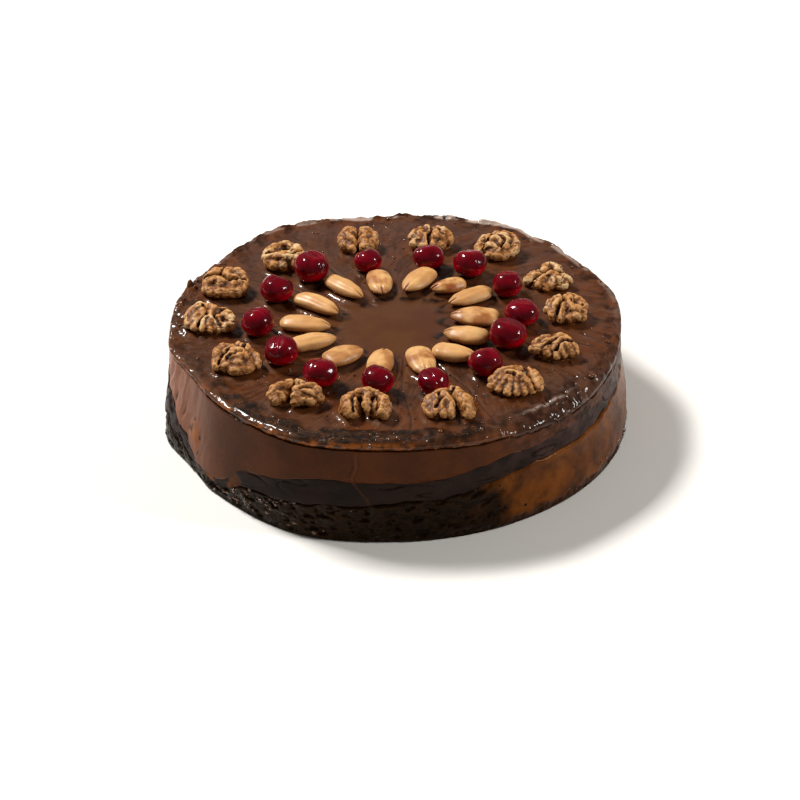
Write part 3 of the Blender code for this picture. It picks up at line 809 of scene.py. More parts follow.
def make_almond(number):
    """One almond in the place of its solid."""
    node = f"almond_{number:02d}"
    piece = rounded_copy(node, f"blanched_almond_{number:02d}", 3)
    points = points_of(piece)
    middle, axis, half = long_axis(points)
    side = np.cross((0, 0, 1), axis)
    along = np.clip((points - middle) @ axis / half, -1, 1)
    beside = (points - middle) @ side
    up = points[:, 2] - middle[2]
    # Fuller towards both ends, most at the blunt one
    full = 1 + 0.20 * bell(along + 0.86, 0.26) + 0.06 * bell(along - 0.60, 0.22)
    out = np.outer(beside, side) + np.outer(up, (0, 0, 1))
    reach = np.maximum(np.linalg.norm(out, axis=1, keepdims=True), 0.2 * MM)
    turn = np.arctan2(up, beside)
    flute = 0.14 * np.cos(FLUTES * turn + 2 * bumps(points, 14 * MM, 1, number)) * (1 - along ** 2)
    lumps = 0.45 * bumps(points, 9 * MM, 2, 80 + number)
    wander_aside = beside + 0.3 * MM * bumps(points, 5 * MM, 1, 90 + number)
    split = bell(wander_aside, SPLIT_WIDTH) * ease((along - 0.42) / 0.45)
    moved = points + out * (full - 1)[:, None] + out / reach * ((flute + lumps) * MM)[:, None]
    moved -= np.outer(split, axis) * SPLIT_DEPTH
    moved[:, 2] -= split * 0.6 * SPLIT_DEPTH * (up > 0)
    move_points(piece, moved)
    fit_to_solid(piece, node)
    paint(piece, "tip", ease((along - 0.5) / 0.5))
    paint(piece, "split", split)
    paint(piece, "toast", np.full(len(points), TOAST.get(number, 0.05)))
    ride_root(piece, "blanched_almond", node)
    return piece


almonds = [make_almond(number) for number in range(1, 15)]
count_faces("almonds", *almonds)

# %% [markdown]
# ## Almond finish
# Blanching leaves ivory flesh, and the oven toasts it golden in clouds of about 9 mm, some nuts more than
# others. The pointed tip is darker, and the split is painted darker as shade. The surface is satin with a
# breath of oil, and a relief of 1.6 mm keeps its highlights from looking like plastic.

# %% Material of the almonds
def almond_flesh():
    """Blanched almond, lightly toasted, satin. It looks firm and waxy."""
    material, tree, shader = new_material(
        "blanched_almond_flesh", Roughness=0.42, IOR=1.46, Specular_IOR_Level=0.35, Coat_Weight=0.1,
        Coat_Roughness=0.25, Subsurface_Weight=0.12, Subsurface_Scale=2 * MM,
        Subsurface_Radius=(1.0, 0.6, 0.3)
    )
    cloud = clouds(tree, 9 * MM)
    browned = times(tree, between(tree, cloud, 0.38, 0.62), painted(tree, "toast"))
    tip = times(tree, painted(tree, "tip"), 0.4)
    # Painted shade: the split is painted darker where it dips in
    cleft = times(tree, painted(tree, "split"), 0.6)
    rows = ((cloud, "b87c42"), (browned, "8c4a1c"), (tip, "94602c"), (cleft, "7a4820"))
    grain = emboss(tree, clouds(tree, 1.6 * MM, 3.0), 0.25, 0.2 * MM)
    plug(shader, Base_Color=layered(tree, srgb("dbae72"), *rows), Normal=grain)
    return material


dress(almond_flesh(), *almonds)

# %% [markdown]
# ## A sheet wrapped round the cake
# Each layer is a closed skin: from the middle of its underside out to the side, up the side, and back in to
# the middle of its top. A grid primitive is that skin rolled out flat. Its rows become rings and its columns
# close into the round, then the doubled points of the closing edge and the two middles are merged.

# %% Wrap a grid over rings
# The front half, from 180 to 360 degrees, gets narrower columns than the back half
BACK_COLUMNS = 340
FRONT_COLUMNS = 540
COLUMNS = BACK_COLUMNS + FRONT_COLUMNS
BACK_ANGLES = np.linspace(0, 180, BACK_COLUMNS + 1)[:-1]
ANGLES = np.concatenate((BACK_ANGLES, np.linspace(180, 360, FRONT_COLUMNS + 1)))


def ring(radii, heights):
    """One ring of points in mm, from a radius and a height for each column."""
    turn = np.radians(ANGLES)
    radii = np.broadcast_to(np.asarray(radii, float), ANGLES.shape)
    heights = np.broadcast_to(np.asarray(heights, float), ANGLES.shape)
    return np.stack((radii * np.cos(turn), radii * np.sin(turn), heights), axis=1)


def wrap(name, rings):
    """A grid rolled up over a stack of rings, the first and last of which are single points."""
    net = np.stack(rings) * MM
    net[:, -1] = net[:, 0]
    bpy.ops.object.select_all(action="DESELECT")
    bpy.ops.mesh.primitive_grid_add(x_subdivisions=COLUMNS, y_subdivisions=len(rings) - 1, size=1)
    piece = bpy.context.object
    piece.name = name
    move_points(piece, net.reshape(-1, 3))
    only(piece)
    bpy.ops.object.mode_set(mode="EDIT")
    bpy.ops.mesh.select_all(action="SELECT")
    bpy.ops.mesh.remove_doubles(threshold=0.002 * MM)
    bpy.ops.mesh.normals_make_consistent(inside=False)
    bpy.ops.object.mode_set(mode="OBJECT")
    piece.data.shade_smooth()
    return piece


def polar(points):
    """Angle in degrees, radius and height in mm of each point."""
    return (
        np.degrees(np.arctan2(points[:, 1], points[:, 0])),
        np.hypot(points[:, 0], points[:, 1]) / MM,
        points[:, 2] / MM,
    )


# %% [markdown]
# The layers meet along ragged edges, because a soft cake is never cut or spread quite level. Each edge is the
# eased line of its driving dimensions and a little noise. Inside the cake the seam levels out, so that two
# layers always lie flat on each other there.

# %% Ragged seams
# Where a seam has its rings, in mm in from the side, and how far in it becomes level
SEAM_INSETS = (SEAM_DEPTH, 5.9, 13.9)
SEAM_REACH = 13
# Share of the way to its inner level that the top of the band has gone at the middle inset
BAND_SHARE = 0.35
INNER_RING = 60


def wander(amount, size, seed):
    """How far a ragged edge strays at each column, in mm: noise read along a circle, so that it closes."""
    circle = ring(RIM_RADIUS, 0) * MM
    return amount * bumps(circle, size * MM, 4, seed)


crack_edge = around(CRACK_EDGE, ANGLES) + wander(1.4, 14, 3)
band_edge = around(BAND_EDGE, ANGLES) + wander(1.3, 18, 5)
glaze_edge = top_height(ANGLES, SEAM_DEPTH) - GLAZE_THICKNESS + wander(0.5, 12, 7)
glaze_edge += near_angle(ANGLES, -38, 24) * wander(2.4, 9, 8)
for label, edge in (("base", crack_edge), ("band", band_edge), ("coat", glaze_edge)):
    print("upper edge of the", label, "from", edge.min().round(1), "to", edge.max().round(1), "mm")


def seam(edge, level, side):
    """Rings of a seam from the side inwards: it leaves the ragged edge and levels out inside the cake."""
    rings = []
    for inset in SEAM_INSETS:
        heights = edge + (level - edge) * ease((inset - SEAM_DEPTH) / SEAM_REACH)
        rings.append(ring(side_radius(ANGLES, edge) - inset, heights + side * GAP / 2))
    return rings


def band_top(lift):
    """Rings of the seam between the band and the coat, from the side inwards, lifted by some mm."""
    middle = band_edge + (BAND_LEVEL - band_edge) * BAND_SHARE + lift
    rows = zip(SEAM_INSETS[1:], (middle, BAND_LEVEL + lift))
    return [ring(side_radius(ANGLES, band_edge) - inset, height) for inset, height in rows]


def side_rows(low, high, rows):
    """Rings up the side between two edges, in even steps."""
    rings = []
    for share in np.linspace(0, 1, rows):
        heights = low + (high - low) * share
        rings.append(ring(side_radius(ANGLES, heights), heights))
    return rings


def middle_point(height):
    """A ring that has shrunk to the middle."""
    return ring(0, height)


def plate(height):
    """The flat part of an underside, from the middle outwards."""
    return [middle_point(height), ring(INNER_RING, height)]


def on_side(radii):
    """1 on the side of the cake, 0 further in than 112 mm."""
    return ease((radii - 112) / 6)


# %% [markdown]
# ## The crumb base
# The lowest layer is dark, moist cake, cut and then brushed with jelly. Its side is torn crumb, with crags of
# about 15 mm, pits of 7 mm and grains of 2 mm. At the right the jelly ran down and buried the crumb, so the
# relief fades there. The points are only ever pushed inwards, so the layer never outgrows its solid.

# %% Build the crumb base
def push_in(piece, depth):
    """Moves points of the side towards the axis by a depth in mm."""
    points = points_of(piece)
    radii = polar(points)[1]
    share = np.maximum(radii - depth, 1) / np.maximum(radii, 1)
    points[:, :2] *= share[:, None]
    move_points(piece, points)


def base_rings():
    """Rings of the crumb base, from the middle of its underside to the middle of its top."""
    foot = side_radius(ANGLES, np.zeros_like(ANGLES))
    rings = plate(0) + [ring(foot - 2.5, 0), ring(foot - 0.8, 0.5)]
    rings += side_rows(np.full_like(ANGLES, 1.5), crack_edge - 1.2, 32)
    rings += [ring(side_radius(ANGLES, crack_edge) - 0.6, crack_edge - 0.5)]
    return rings + seam(crack_edge, CRACK_LEVEL, -1) + plate(CRACK_LEVEL - GAP / 2)[::-1]


def build_base():
    """Crumb base with its crags."""
    piece = wrap("crumb_base", base_rings())
    points = points_of(piece)
    angles, radii, heights = polar(points)
    ragged = turn_between(angles, 0) + 7 * bumps(points, 16 * MM, 3, 15)
    buried = ease((ragged + 70) / 16) * ease((32 - ragged) / 14)
    # Crumb shows through the jelly again low down
    buried *= 1 - 0.8 * ease((7 - heights + 4 * bumps(points, 9 * MM, 3, 16)) / 4)
    flaky = points * (1, 1, 1.7)
    crags = ease(0.5 + 0.9 * bumps(flaky, 15 * MM, 5, 11))
    pits = ease(2.2 * bumps(flaky, 7 * MM, 5, 12) - 0.2)
    grains = 0.5 + 0.5 * bumps(points, 1.9 * MM, 3, 14)
    depth = (1.2 * crags + 1.2 * pits + 0.55 * grains) * (1 - 0.85 * buried)
    depth += 0.25 * (1 + bumps(points, 16 * MM, 2, 13)) * buried
    push_in(piece, depth * (on_side(radii) * ease((heights - 0.2) / 1.5)))
    paint(piece, "buried", buried)
    # Painted shade: hollows of the crumb are painted darker
    paint(piece, "pit_shade", np.clip(0.5 + hollows(piece, 10) / (0.9 * MM), 0, 1))
    ride_root(piece, "base_cake", "base_cake")
    return piece


base = build_base()
count_faces("crumb base", base)

# %% [markdown]
# ## The two chocolate layers
# Above the crumb lies a band of dark chocolate cream, and the milk chocolate coat covers it down to a
# wandering edge. At the front left the coat hangs in a lobe almost to the foot. Both are smooth under clear
# jelly, but the jelly film wrinkled at the left while it set, so the coat gets soft upright folds there, and
# one thin crease runs down the front. Long cracks run along the band.

# %% Build the dark band
# Length of one degree along the side, in mm
MM_PER_DEGREE = 2.2
# Angle and height of the crease in the jelly, from the top down
CREASE = ((-99.5, 56), (-99.2, 46), (-100.4, 39), (-98.6, 33), (-96.6, 27), (-96.0, 22))


def crease_ridge(angles, heights):
    """A thin crease of jelly down the front: 1 on its crest, 0 away from it."""
    places = np.interp(heights, [row[1] for row in CREASE[::-1]], [row[0] for row in CREASE[::-1]])
    aside = np.abs(turn_between(angles, places)) * MM_PER_DEGREE
    return bell(aside, 0.6) * ease((heights - 21) / 4) * ease((57 - heights) / 4)


def long_cracks(points, seed):
    """Cracks that run along the layers: 1 in a crack, 0 away from it."""
    broken = ease(0.4 + 1.5 * bumps(points, 24 * MM, 2, seed + 1))
    return creases(points * (1, 1, 4), 34 * MM, 0.05, seed) * broken


def band_rings():
    """Rings of the band, from the middle of its underside to the middle of its top."""
    rings = plate(CRACK_LEVEL + GAP / 2) + seam(crack_edge, CRACK_LEVEL, 1)[::-1]
    rings += [ring(side_radius(ANGLES, crack_edge) - 0.6, crack_edge + 0.4)]
    rings += side_rows(crack_edge + 0.9, band_edge, 24) + band_top(0)
    return rings + [ring(side_radius(ANGLES, band_edge) - 65, BAND_LEVEL), middle_point(BAND_LEVEL)]


def build_band():
    """Dark chocolate band."""
    piece = wrap("dark_chocolate_band", band_rings())
    points = points_of(piece)
    angles, radii, heights = polar(points)
    right = near_angle(angles, -15, 40)
    rough = 0.5 * right * (1 + bumps(points * (1, 1, 2), 8 * MM, 3, 23))
    crumbly = near_angle(angles, -174, 20) * ease(0.2 + 2 * bumps(points, 6 * MM, 5, 25))
    waves = 0.3 * (1 + bumps(points * (1, 1, 2), 13 * MM, 3, 21)) + rough + 1.3 * crumbly
    ridge = crease_ridge(angles, heights)
    push_in(piece, (waves + 0.9 * long_cracks(points, 22) - 0.8 * ridge) * on_side(radii))
    patch = 0.6 * near_angle(angles, -140, 9) * ease(0.3 + 2 * bumps(points, 8 * MM, 4, 24))
    paint(piece, "left", near_angle(angles, -168, 12))
    paint(piece, "right", right)
    paint(piece, "amber", np.clip(patch + 0.15 * ridge, 0, 1))
    paint(piece, "rough", np.zeros(len(points)))
    # Painted shade: hollows of the band are painted darker
    paint(piece, "pit_shade", np.clip(0.5 + hollows(piece, 10) / (0.6 * MM), 0, 1))
    ride_root(piece, "dark_layer", "dark_layer")
    return piece


band = build_band()
count_faces("band", band)

# %% [markdown]
# The coat is made the same way. Its folds hang upright and lean a little, so their noise is read from points
# that are squeezed in height. A blister of amber jelly swells in the lobe at the lower left, and the upper
# front right is torn by the spatula.

# %% Build the milk chocolate coat
# The coat starts this far above the band, in mm
COAT_LIFT = 0.1


def blister(angles, heights):
    """The amber blister in the lobe of the coat, which lies over its lower left."""
    aside = turn_between(angles, -150) * MM_PER_DEGREE
    return np.exp(-((aside / 4.4) ** 2) - (((heights - 24) / 9.0) ** 2))


def coat_rings():
    """Rings of the coat, from the middle of its underside to the middle of its top."""
    rings = plate(BAND_LEVEL + COAT_LIFT) + band_top(COAT_LIFT)[::-1]
    rings += side_rows(band_edge, glaze_edge, 38)
    rings += seam(glaze_edge, TOP_HEIGHT - GLAZE_THICKNESS, -1)
    return rings + plate(TOP_HEIGHT - GLAZE_THICKNESS - GAP / 2)[::-1]


def coat_relief(points, left, right):
    """How far the side of the coat lies in, in mm, and how much of the blister is at each point."""
    angles, radii, heights = polar(points)
    upright = np.stack((points[:, 0], points[:, 1] + 0.3 * points[:, 2], 0.3 * points[:, 2]), axis=1)
    folds = left * (1.5 * np.abs(bumps(upright, 13 * MM, 3, 31)) + 0.2 * creases(upright, 8 * MM, 0.2, 34))
    streaks = 0.06 * np.abs(bumps(upright, 4 * MM, 2, 36)) * near_angle(angles, -140, 30)
    waves = 0.2 * (1 + bumps(points, 24 * MM, 2, 32))
    ragged = 0.7 * np.abs(bumps(points * (1, 1, 2), 9 * MM, 3, 33))
    torn = right * (ragged + 0.25 * creases(points * (1, 1, 3), 16 * MM, 0.2, 35))
    # A crack runs a little above the edge of the coat at the front
    above = heights - np.interp(angles % 360, ANGLES, band_edge) - 1.2 - 0.8 * bumps(points, 9 * MM, 2, 37)
    broken = ease(0.3 + 2 * bumps(points, 13 * MM, 2, 38))
    crack = 0.9 * bell(above, 0.5) * near_angle(angles, -92, 16) * broken
    relief = folds + streaks + waves + torn + crack - 0.8 * crease_ridge(angles, heights)
    swelling = blister(angles, heights)
    return (relief - 0.6 * swelling) * on_side(radii), swelling


def build_coat():
    """Milk chocolate coat with its wrinkles."""
    piece = wrap("milk_chocolate_coat", coat_rings())
    points = points_of(piece)
    angles, _, heights = polar(points)
    left = near_angle(angles, -166, 18)
    right = ease((turn_between(angles, -62) + 10) / 30) * ease((62 - turn_between(angles, 0)) / 30)
    depth, swelling = coat_relief(points, left, right)
    push_in(piece, depth)
    # Painted sheen: the left side is painted pale where it reflects the light. The unseen back gets a third of
    # that pale tone, as a middle tone
    paint(piece, "left", np.maximum(left, 0.35 * near_angle(angles, 95, 60)))
    paint(piece, "right", right)
    cloudy = swelling * (1.4 + 1.4 * bumps(points, 5 * MM, 3, 39))
    paint(piece, "amber", np.clip(cloudy + 0.15 * crease_ridge(angles, heights), 0, 1))
    high_up = ease((heights - 38 - 5 * bumps(points, 12 * MM, 2, 40)) / 10)
    paint(piece, "rough", near_angle(angles, -38, 26) * high_up)
    # Painted shade: hollows of the coat are painted darker. The same value also carries a dark ring round the
    # blister
    round_it = 0.4 * bell(swelling - 0.22, 0.12) * ease(0.5 + 2 * bumps(points, 7 * MM, 3, 26))
    paint(piece, "pit_shade", np.clip(0.5 + hollows(piece, 10) / (0.6 * MM) + round_it, 0, 1))
    ride_root(piece, "brown_layer", "brown_layer")
    return piece


coat = build_coat()
count_faces("coat", coat)

# %% [markdown]
# ## The poured glaze
# The fruit and nuts were set first and the glaze then crept up round them, so they are made before it. The
# glaze is the finest skin of all: a rough bubbly rim with a raised bead, faint marks between the fourteen
# portions, and a rim of jelly that climbs each topping. How far each point is from the nearest topping comes
# from a k-d tree of their lowest points.

# %% Find the toppings that stand in the glaze
def footprint_tree():
    """Tree of the toppings' lower points, seen from above."""
    feet = []
    for piece in walnuts + cherries + almonds:
        points = points_of(piece)
        low = points[points[:, 2] < points[:, 2].min() + 3 * MM]
        feet.append(low[::3])
    feet = np.concatenate(feet)
    print("points of the toppings near the glaze:", len(feet))
    tree = kdtree.KDTree(len(feet))
    for index, (x, y, z) in enumerate(feet):
        tree.insert((x, y, 0), index)
    tree.balance()
    return tree


feet_tree = footprint_tree()


def near_toppings(points):
    """Distance in mm from each point to the nearest topping, seen from above."""
    return np.array([feet_tree.find((x, y, 0))[2] for x, y, _ in points]) / MM


# %% [markdown]
# The top is drawn by two things: the marks of a knife between the portions, and the long curved strokes of a
# brush that spread the glaze from the middle outwards. The strokes are noise on a stretched and twisted copy
# of the points.

# %% Rings and marks of the glaze
# Steps between the rings of the top, in mm, from an inset from the rim to the next
TOP_ROWS = ((0.4, 6.0, 0.5), (6.0, 20.0, 0.85), (20.0, 66.0, 1.15), (66.0, 92.0, 1.9))


def portion_marks(angles, radii):
    """Depth of the marks between the portions in mm, and how much each portion stands higher or lower."""
    depth, level = np.zeros_like(angles), np.zeros_like(angles)
    for k, (one, two) in enumerate(zip(PORTIONS, PORTIONS[1:] + PORTIONS[:1])):
        place = one + turn_between(two, one) / 2
        aside = np.radians(turn_between(angles, place)) * radii + 1.2 * np.sin(radii / 9 + k * 2.1)
        strength = 0.32 + 0.22 * math.sin(k * 2.3)
        depth += strength * (bell(aside, 0.8) - 0.15 * bell(aside - 2.4, 1.5))
        inside = (turn_between(angles, one) > -15) & (turn_between(angles, place) < 0)
        level = np.where(inside | (np.abs(turn_between(angles, one)) < 1), 0.25 * math.sin(k * 1.9), level)
    reach = ease((radii - CENTRE_DISC) / 6) * ease((118 - radii) / 10)
    return depth * reach, level * reach


def strokes(points, size, length, seed):
    """Strokes of the brush, size wide and some times as long, which run out from the middle in a curve."""
    turn = np.arctan2(points[:, 1], points[:, 0])
    radii = np.hypot(points[:, 0], points[:, 1])
    turn = turn + radii / (260 * MM)
    drawn = np.stack((90 * MM * np.cos(turn), 90 * MM * np.sin(turn), radii / length), axis=1)
    return bumps(drawn, size, 4, seed)


def glaze_rings():
    """Rings of the glaze, from the middle of its underside to the middle of its top."""
    rings = plate(TOP_HEIGHT - GLAZE_THICKNESS + GAP / 2)
    rings += seam(glaze_edge, TOP_HEIGHT - GLAZE_THICKNESS, 1)[::-1]
    lip_low = glaze_edge + 0.15
    lip_high = np.maximum(top_height(ANGLES, np.zeros_like(ANGLES)), lip_low + 0.8)
    for share in (0.05, 0.3, 0.55, 0.8, 1.0):
        heights = lip_low + (lip_high - lip_low) * share
        rings.append(ring(side_radius(ANGLES, heights) - 0.5 * (1 - share), heights))
    insets = np.concatenate([np.arange(*span) for span in TOP_ROWS])
    for inset in insets:
        rings.append(ring(rim_radius(ANGLES) - inset, top_height(ANGLES, inset)))
    for share in np.linspace(1, 0, 9)[1:-1]:
        rings.append(ring((rim_radius(ANGLES) - insets[-1]) * share, TOP_HEIGHT))
    return rings + [middle_point(TOP_HEIGHT)]


# %% [markdown]
# Many features of the glaze depend on the same few zones, such as how far a point is from the rim or whether
# dark gel lies there. They are worked out once, for the relief and for the colours.

# %% Zones and relief of the glaze
def glaze_zones(points):
    """Distances of each point in mm, and the share of each feature that it lies in, from 0 to 1."""
    angles, radii, heights = polar(points)
    inset = rim_radius(angles) - radii
    flat = points * (1, 1, 0)
    above_lip = ease((heights - (top_height(angles, np.maximum(inset, 0)) - 1.0)) / 0.8)
    distance = near_toppings(points)
    marks, level = portion_marks(angles, radii)
    calm = near_angle(angles, -146, 32)
    lumps = bumps(flat, 7 * MM, 4, 42)
    puddle = near_angle(angles, -104, 38) * bell(inset - 8.5, 6.4, 4)
    gel = ease(puddle * (1.8 + 1.6 * lumps + 1.4 * bumps(flat, 15 * MM, 3, 57))) * ease(distance / 1.5)
    return SimpleNamespace(
        angles=angles, radii=radii, heights=heights, inset=inset, flat=flat, distance=distance, marks=marks,
        level=level, calm=calm, lumps=lumps, gel=gel, on_top=above_lip * ease((inset + 0.2) / 0.8),
        rough=ease((15 - inset) / 9) * (1 - 0.9 * calm * ease((8 - inset) / 4)),
        shoulder=near_angle(angles, -38, 22) * ease((18 - inset) / 7),
        strokes=strokes(points, 2.6 * MM, 7, 47)
    )


def glaze_rise(points, zone):
    """How far each point of the top rises, in mm."""
    angles, radii, inset, flat, gel = zone.angles, zone.radii, zone.inset, zone.flat, zone.gel
    narrow = near_angle(angles, 90, 75) * bell(inset - 1.7, 1.0) * (0.7 + 1.6 * bumps(flat, 9 * MM, 4, 41))
    wide = bell(inset - 3.6, 1.7) * (0.55 + 0.6 * bumps(flat, 16 * MM, 2, 48)) * (1 - 0.7 * zone.calm)
    rise = 0.35 * bumps(flat, 34 * MM, 2, 43) * ease((radii - 20) / 25) + zone.level - zone.marks
    bubbly = 0.7 * zone.lumps + 0.5 * np.abs(bumps(flat, 3 * MM, 3, 44))
    rise += zone.rough * bubbly * (1 - 0.75 * gel) + 1.3 * narrow + 0.7 * wide
    rise += zone.shoulder * (0.9 * bumps(flat, 5 * MM, 3, 49) - 0.9 * creases(flat, 12 * MM, 0.1, 50))
    left = near_angle(angles, 176, 26) * ease((17 - inset) / 6)
    rise += left * 2.2 * np.abs(bumps(flat, 9 * MM, 3, 51)) + 0.6 * gel
    # One drop of glaze stands up on the rim at the left
    drop = np.hypot(points[:, 0] / MM + 116, points[:, 1] / MM - 37.7)
    rise += 3.8 * bell(drop, 1.9, 4)
    rise += 1.2 * bell(zone.distance, 2.2) * ease((radii - 24) / 6)
    fine = 0.14 * zone.strokes + 0.06 * bumps(flat, 1.9 * MM, 2, 52)
    return rise + fine * (1 - gel) * ease((radii - 30) / 8)


# %% [markdown]
# The colours need to know where the jelly is thick and amber, where it is dark gel, where a pale sheen is
# painted along the back rim, and where the brush smeared the chocolate. Each of these is a number on the
# points.

# %% Build the glaze
def paint_glaze(piece, points, zone):
    """Leaves the shares of the glaze's colours on its points."""
    angles, radii, inset = zone.angles, zone.radii, zone.inset
    # Painted light: the front edge of the jelly is painted bright amber, broken into glints
    glints = ease(0.3 + 2.2 * bumps(points, 5 * MM, 3, 54))
    front_edge = near_angle(angles, -118, 44) * bell(np.maximum(inset, 0), 1.7)
    front_edge = front_edge * ease((zone.heights - 54) / 2) * (0.2 + 0.8 * glints)
    right_edge = near_angle(angles, 2, 26) * bell(inset - 11, 7)
    left_edge = near_angle(angles, -150, 28) * bell(inset - 6, 6)
    pools = bell(zone.distance, 4.0) * ease((radii - 30) / 6)
    speckled = ease(0.45 + 1.6 * strokes(points, 5 * MM, 2.5, 53))
    amber = front_edge + (0.55 * right_edge + 0.8 * left_edge + 0.9 * pools + 0.1) * speckled
    # Painted sheen: pale strips along the back rim, where its raised edge reflects the light, broken up by
    # noise
    torn = ease(0.6 + 3 * bumps(zone.flat, 10 * MM, 4, 55))
    film_and_sheen = near_angle(angles, 76, 48) * bell(inset - 2.9, 1.6, 4) * torn
    # Painted highlight: one pale streak along the rim at the right front
    turn = turn_between(angles, -46)
    highlight_streak = np.hypot(turn / 6.5, (inset - 9 + 0.12 * turn) / 0.8)
    film_and_sheen += 0.8 * bell(highlight_streak, 1) * ease(0.8 + strokes(points, 3 * MM, 2, 62))
    # Painted reflection: a mauve sheen on the right shoulder and over the back half of the top
    mauve_sheen = zone.shoulder + 0.5 * near_angle(angles, 90, 90) * ease((inset - 4) / 8)
    paint(piece, "amber", np.clip(amber, 0, 1) * (1 - 0.8 * zone.gel))
    paint(piece, "gel", zone.gel)
    paint(piece, "edge", front_edge * glints)
    paint(piece, "film_and_sheen", film_and_sheen)
    paint(piece, "smear", strokes(points, 8 * MM, 2.5, 56))
    paint(piece, "rough", np.clip(zone.rough + zone.shoulder, 0, 1))
    paint(piece, "mauve_sheen", np.clip(mauve_sheen, 0, 1))
    paint(piece, "disc", ease((CENTRE_DISC + 3 - radii) / 6))
    paint(piece, "mark", np.clip(zone.marks, 0, 1))
    paint(piece, "stroke", zone.strokes)
    # Painted shade: hollows of the glaze are painted darker
    paint(piece, "pit_shade", np.clip(0.5 + hollows(piece, 8) / (0.8 * MM), 0, 1))


def build_glaze():
    """Poured glaze with its rim, marks and jelly."""
    piece = wrap("poured_glaze", glaze_rings())
    points = points_of(piece)
    zone = glaze_zones(points)
    points[:, 2] += glaze_rise(points, zone) * zone.on_top * MM
    move_points(piece, points)
    face = ease((zone.heights - 44) / 2) * ease((3.0 - zone.inset) / 2) * (1 - zone.on_top)
    dents = 0.45 * (1 + bumps(points, 6 * MM, 3, 45)) + 0.25 * np.abs(bumps(points, 2.4 * MM, 2, 46))
    push_in(piece, face * dents)
    paint_glaze(piece, points, zone)
    ride_root(piece, "top_glaze", "top_glaze")
    return piece


glaze = build_glaze()
count_faces("glaze", glaze)

# %% [markdown]
# ## Finishes of the layers
# All four layers lie under the same clear jelly, so each material is a rough or satin food with a smooth
# clear coat on top. The coat is what the eye reads as wet. The food's own shine is weak and tinted warm,
# because a strong white shine would lay a bluish veil over such dark colours.
#
# The crumb is nearly black with soaked brown clouds, and its pits are painted darker as shade. Where jelly
# buried it, it turns amber.

# %% Material of the crumb base
def crumb():
    """Dark moist crumb soaked in jelly. It looks wet in small broken glints."""
    material, tree, shader = new_material(
        "moist_dark_crumb", Roughness=0.35, IOR=1.4, Specular_IOR_Level=0.2, Specular_Tint=srgb("e0a868"),
        Coat_Weight=0.08, Coat_Roughness=0.1, Coat_IOR=1.33
    )
    specks = clouds(tree, 2.4 * MM, 6.0)
    patches = clouds(tree, 24 * MM, 4.0)
    # Painted shade: deep pits of the crumb are painted nearly black
    deep = between(tree, times_plus(tree, specks, 0.8, painted(tree, "pit_shade")), 0.62, 1.0)
    soaked = times(tree, between(tree, patches, 0.52, 0.68), 0.6)
    dark = layered(tree, srgb("150a04"), (deep, "070302"), (soaked, "2a1406"))
    thick = between(tree, patches, 0.35, 0.65)
    mottled = times(tree, between(tree, clouds(tree, 8 * MM, 5.0), 0.46, 0.66), 0.5)
    amber = layered(tree, srgb("6e3a0e"), (thick, "4a240a"), (mottled, "2c1507"))
    relief, film_and_sheen = emboss(tree, specks, 0.6, 0.5 * MM), emboss(tree, specks, 0.3, 0.4 * MM)
    plug(shader, Base_Color=over(tree, painted(tree, "buried"), dark, amber), Normal=relief, Coat_Normal=film_and_sheen)
    return material


dress(crumb(), base)

# %% [markdown]
# Chocolate cream is smooth, so its tones change in soft clouds. One function makes both creams, because they
# differ only in their colours and in the size of the clouds: 12 mm in the dark one and 26 mm in the other.

# %% Materials of the two chocolate layers
def cream(name, light, dark, patch, left, right, size):
    """Chocolate cream under clear jelly, with other tones at both sides. It looks smooth and fatty."""
    material, tree, shader = new_material(
        name, Roughness=0.5, IOR=1.38, Specular_IOR_Level=0.08, Specular_Tint=srgb("e8c8a0"),
        Coat_Weight=0.18, Coat_Roughness=0.05, Coat_IOR=1.33
    )
    smears = between(tree, clouds(tree, 9 * MM, 5.0), 0.35, 0.65)
    mottled = between(tree, clouds(tree, 7 * MM, 5.0), 0.4, 0.6)
    specks = between(tree, clouds(tree, 1.4 * MM, 3.0), 0.5, 0.62)
    rows = (
        (between(tree, clouds(tree, size, 5.0), 0.3, 0.7), dark),
        (times(tree, painted(tree, "right"), smears), right),
        (times(tree, painted(tree, "rough"), mottled), "24140d"),
        # Painted sheen: in the coat, the pale left tone is where its left side reflects the light
        (painted(tree, "left"), left),
        (painted(tree, "amber"), "8a4a10"),
        (times(tree, specks, 0.13), patch),
        # Painted shade in the hollows
        (between(tree, painted(tree, "pit_shade"), 0.58, 0.9), patch),
    )
    film_and_sheen = emboss(tree, clouds(tree, 6 * MM, 3.0), 0.15, 0.4 * MM)
    plug(shader, Base_Color=layered(tree, srgb(light), *rows), Coat_Normal=film_and_sheen)
    return material


# Tones: light, dark, patch (also the painted shade in the hollows), left (in the coat a painted sheen) and
# right
DARK_TONES = ("22130f", "120a08", "050302", "2a1a17", "48302b")
MILK_TONES = ("542a10", "41200d", "120905", "93634f", "553528")
dress(cream("dark_chocolate_cream", *DARK_TONES, 12 * MM), band)
dress(cream("milk_chocolate_cream", *MILK_TONES, 26 * MM), coat)
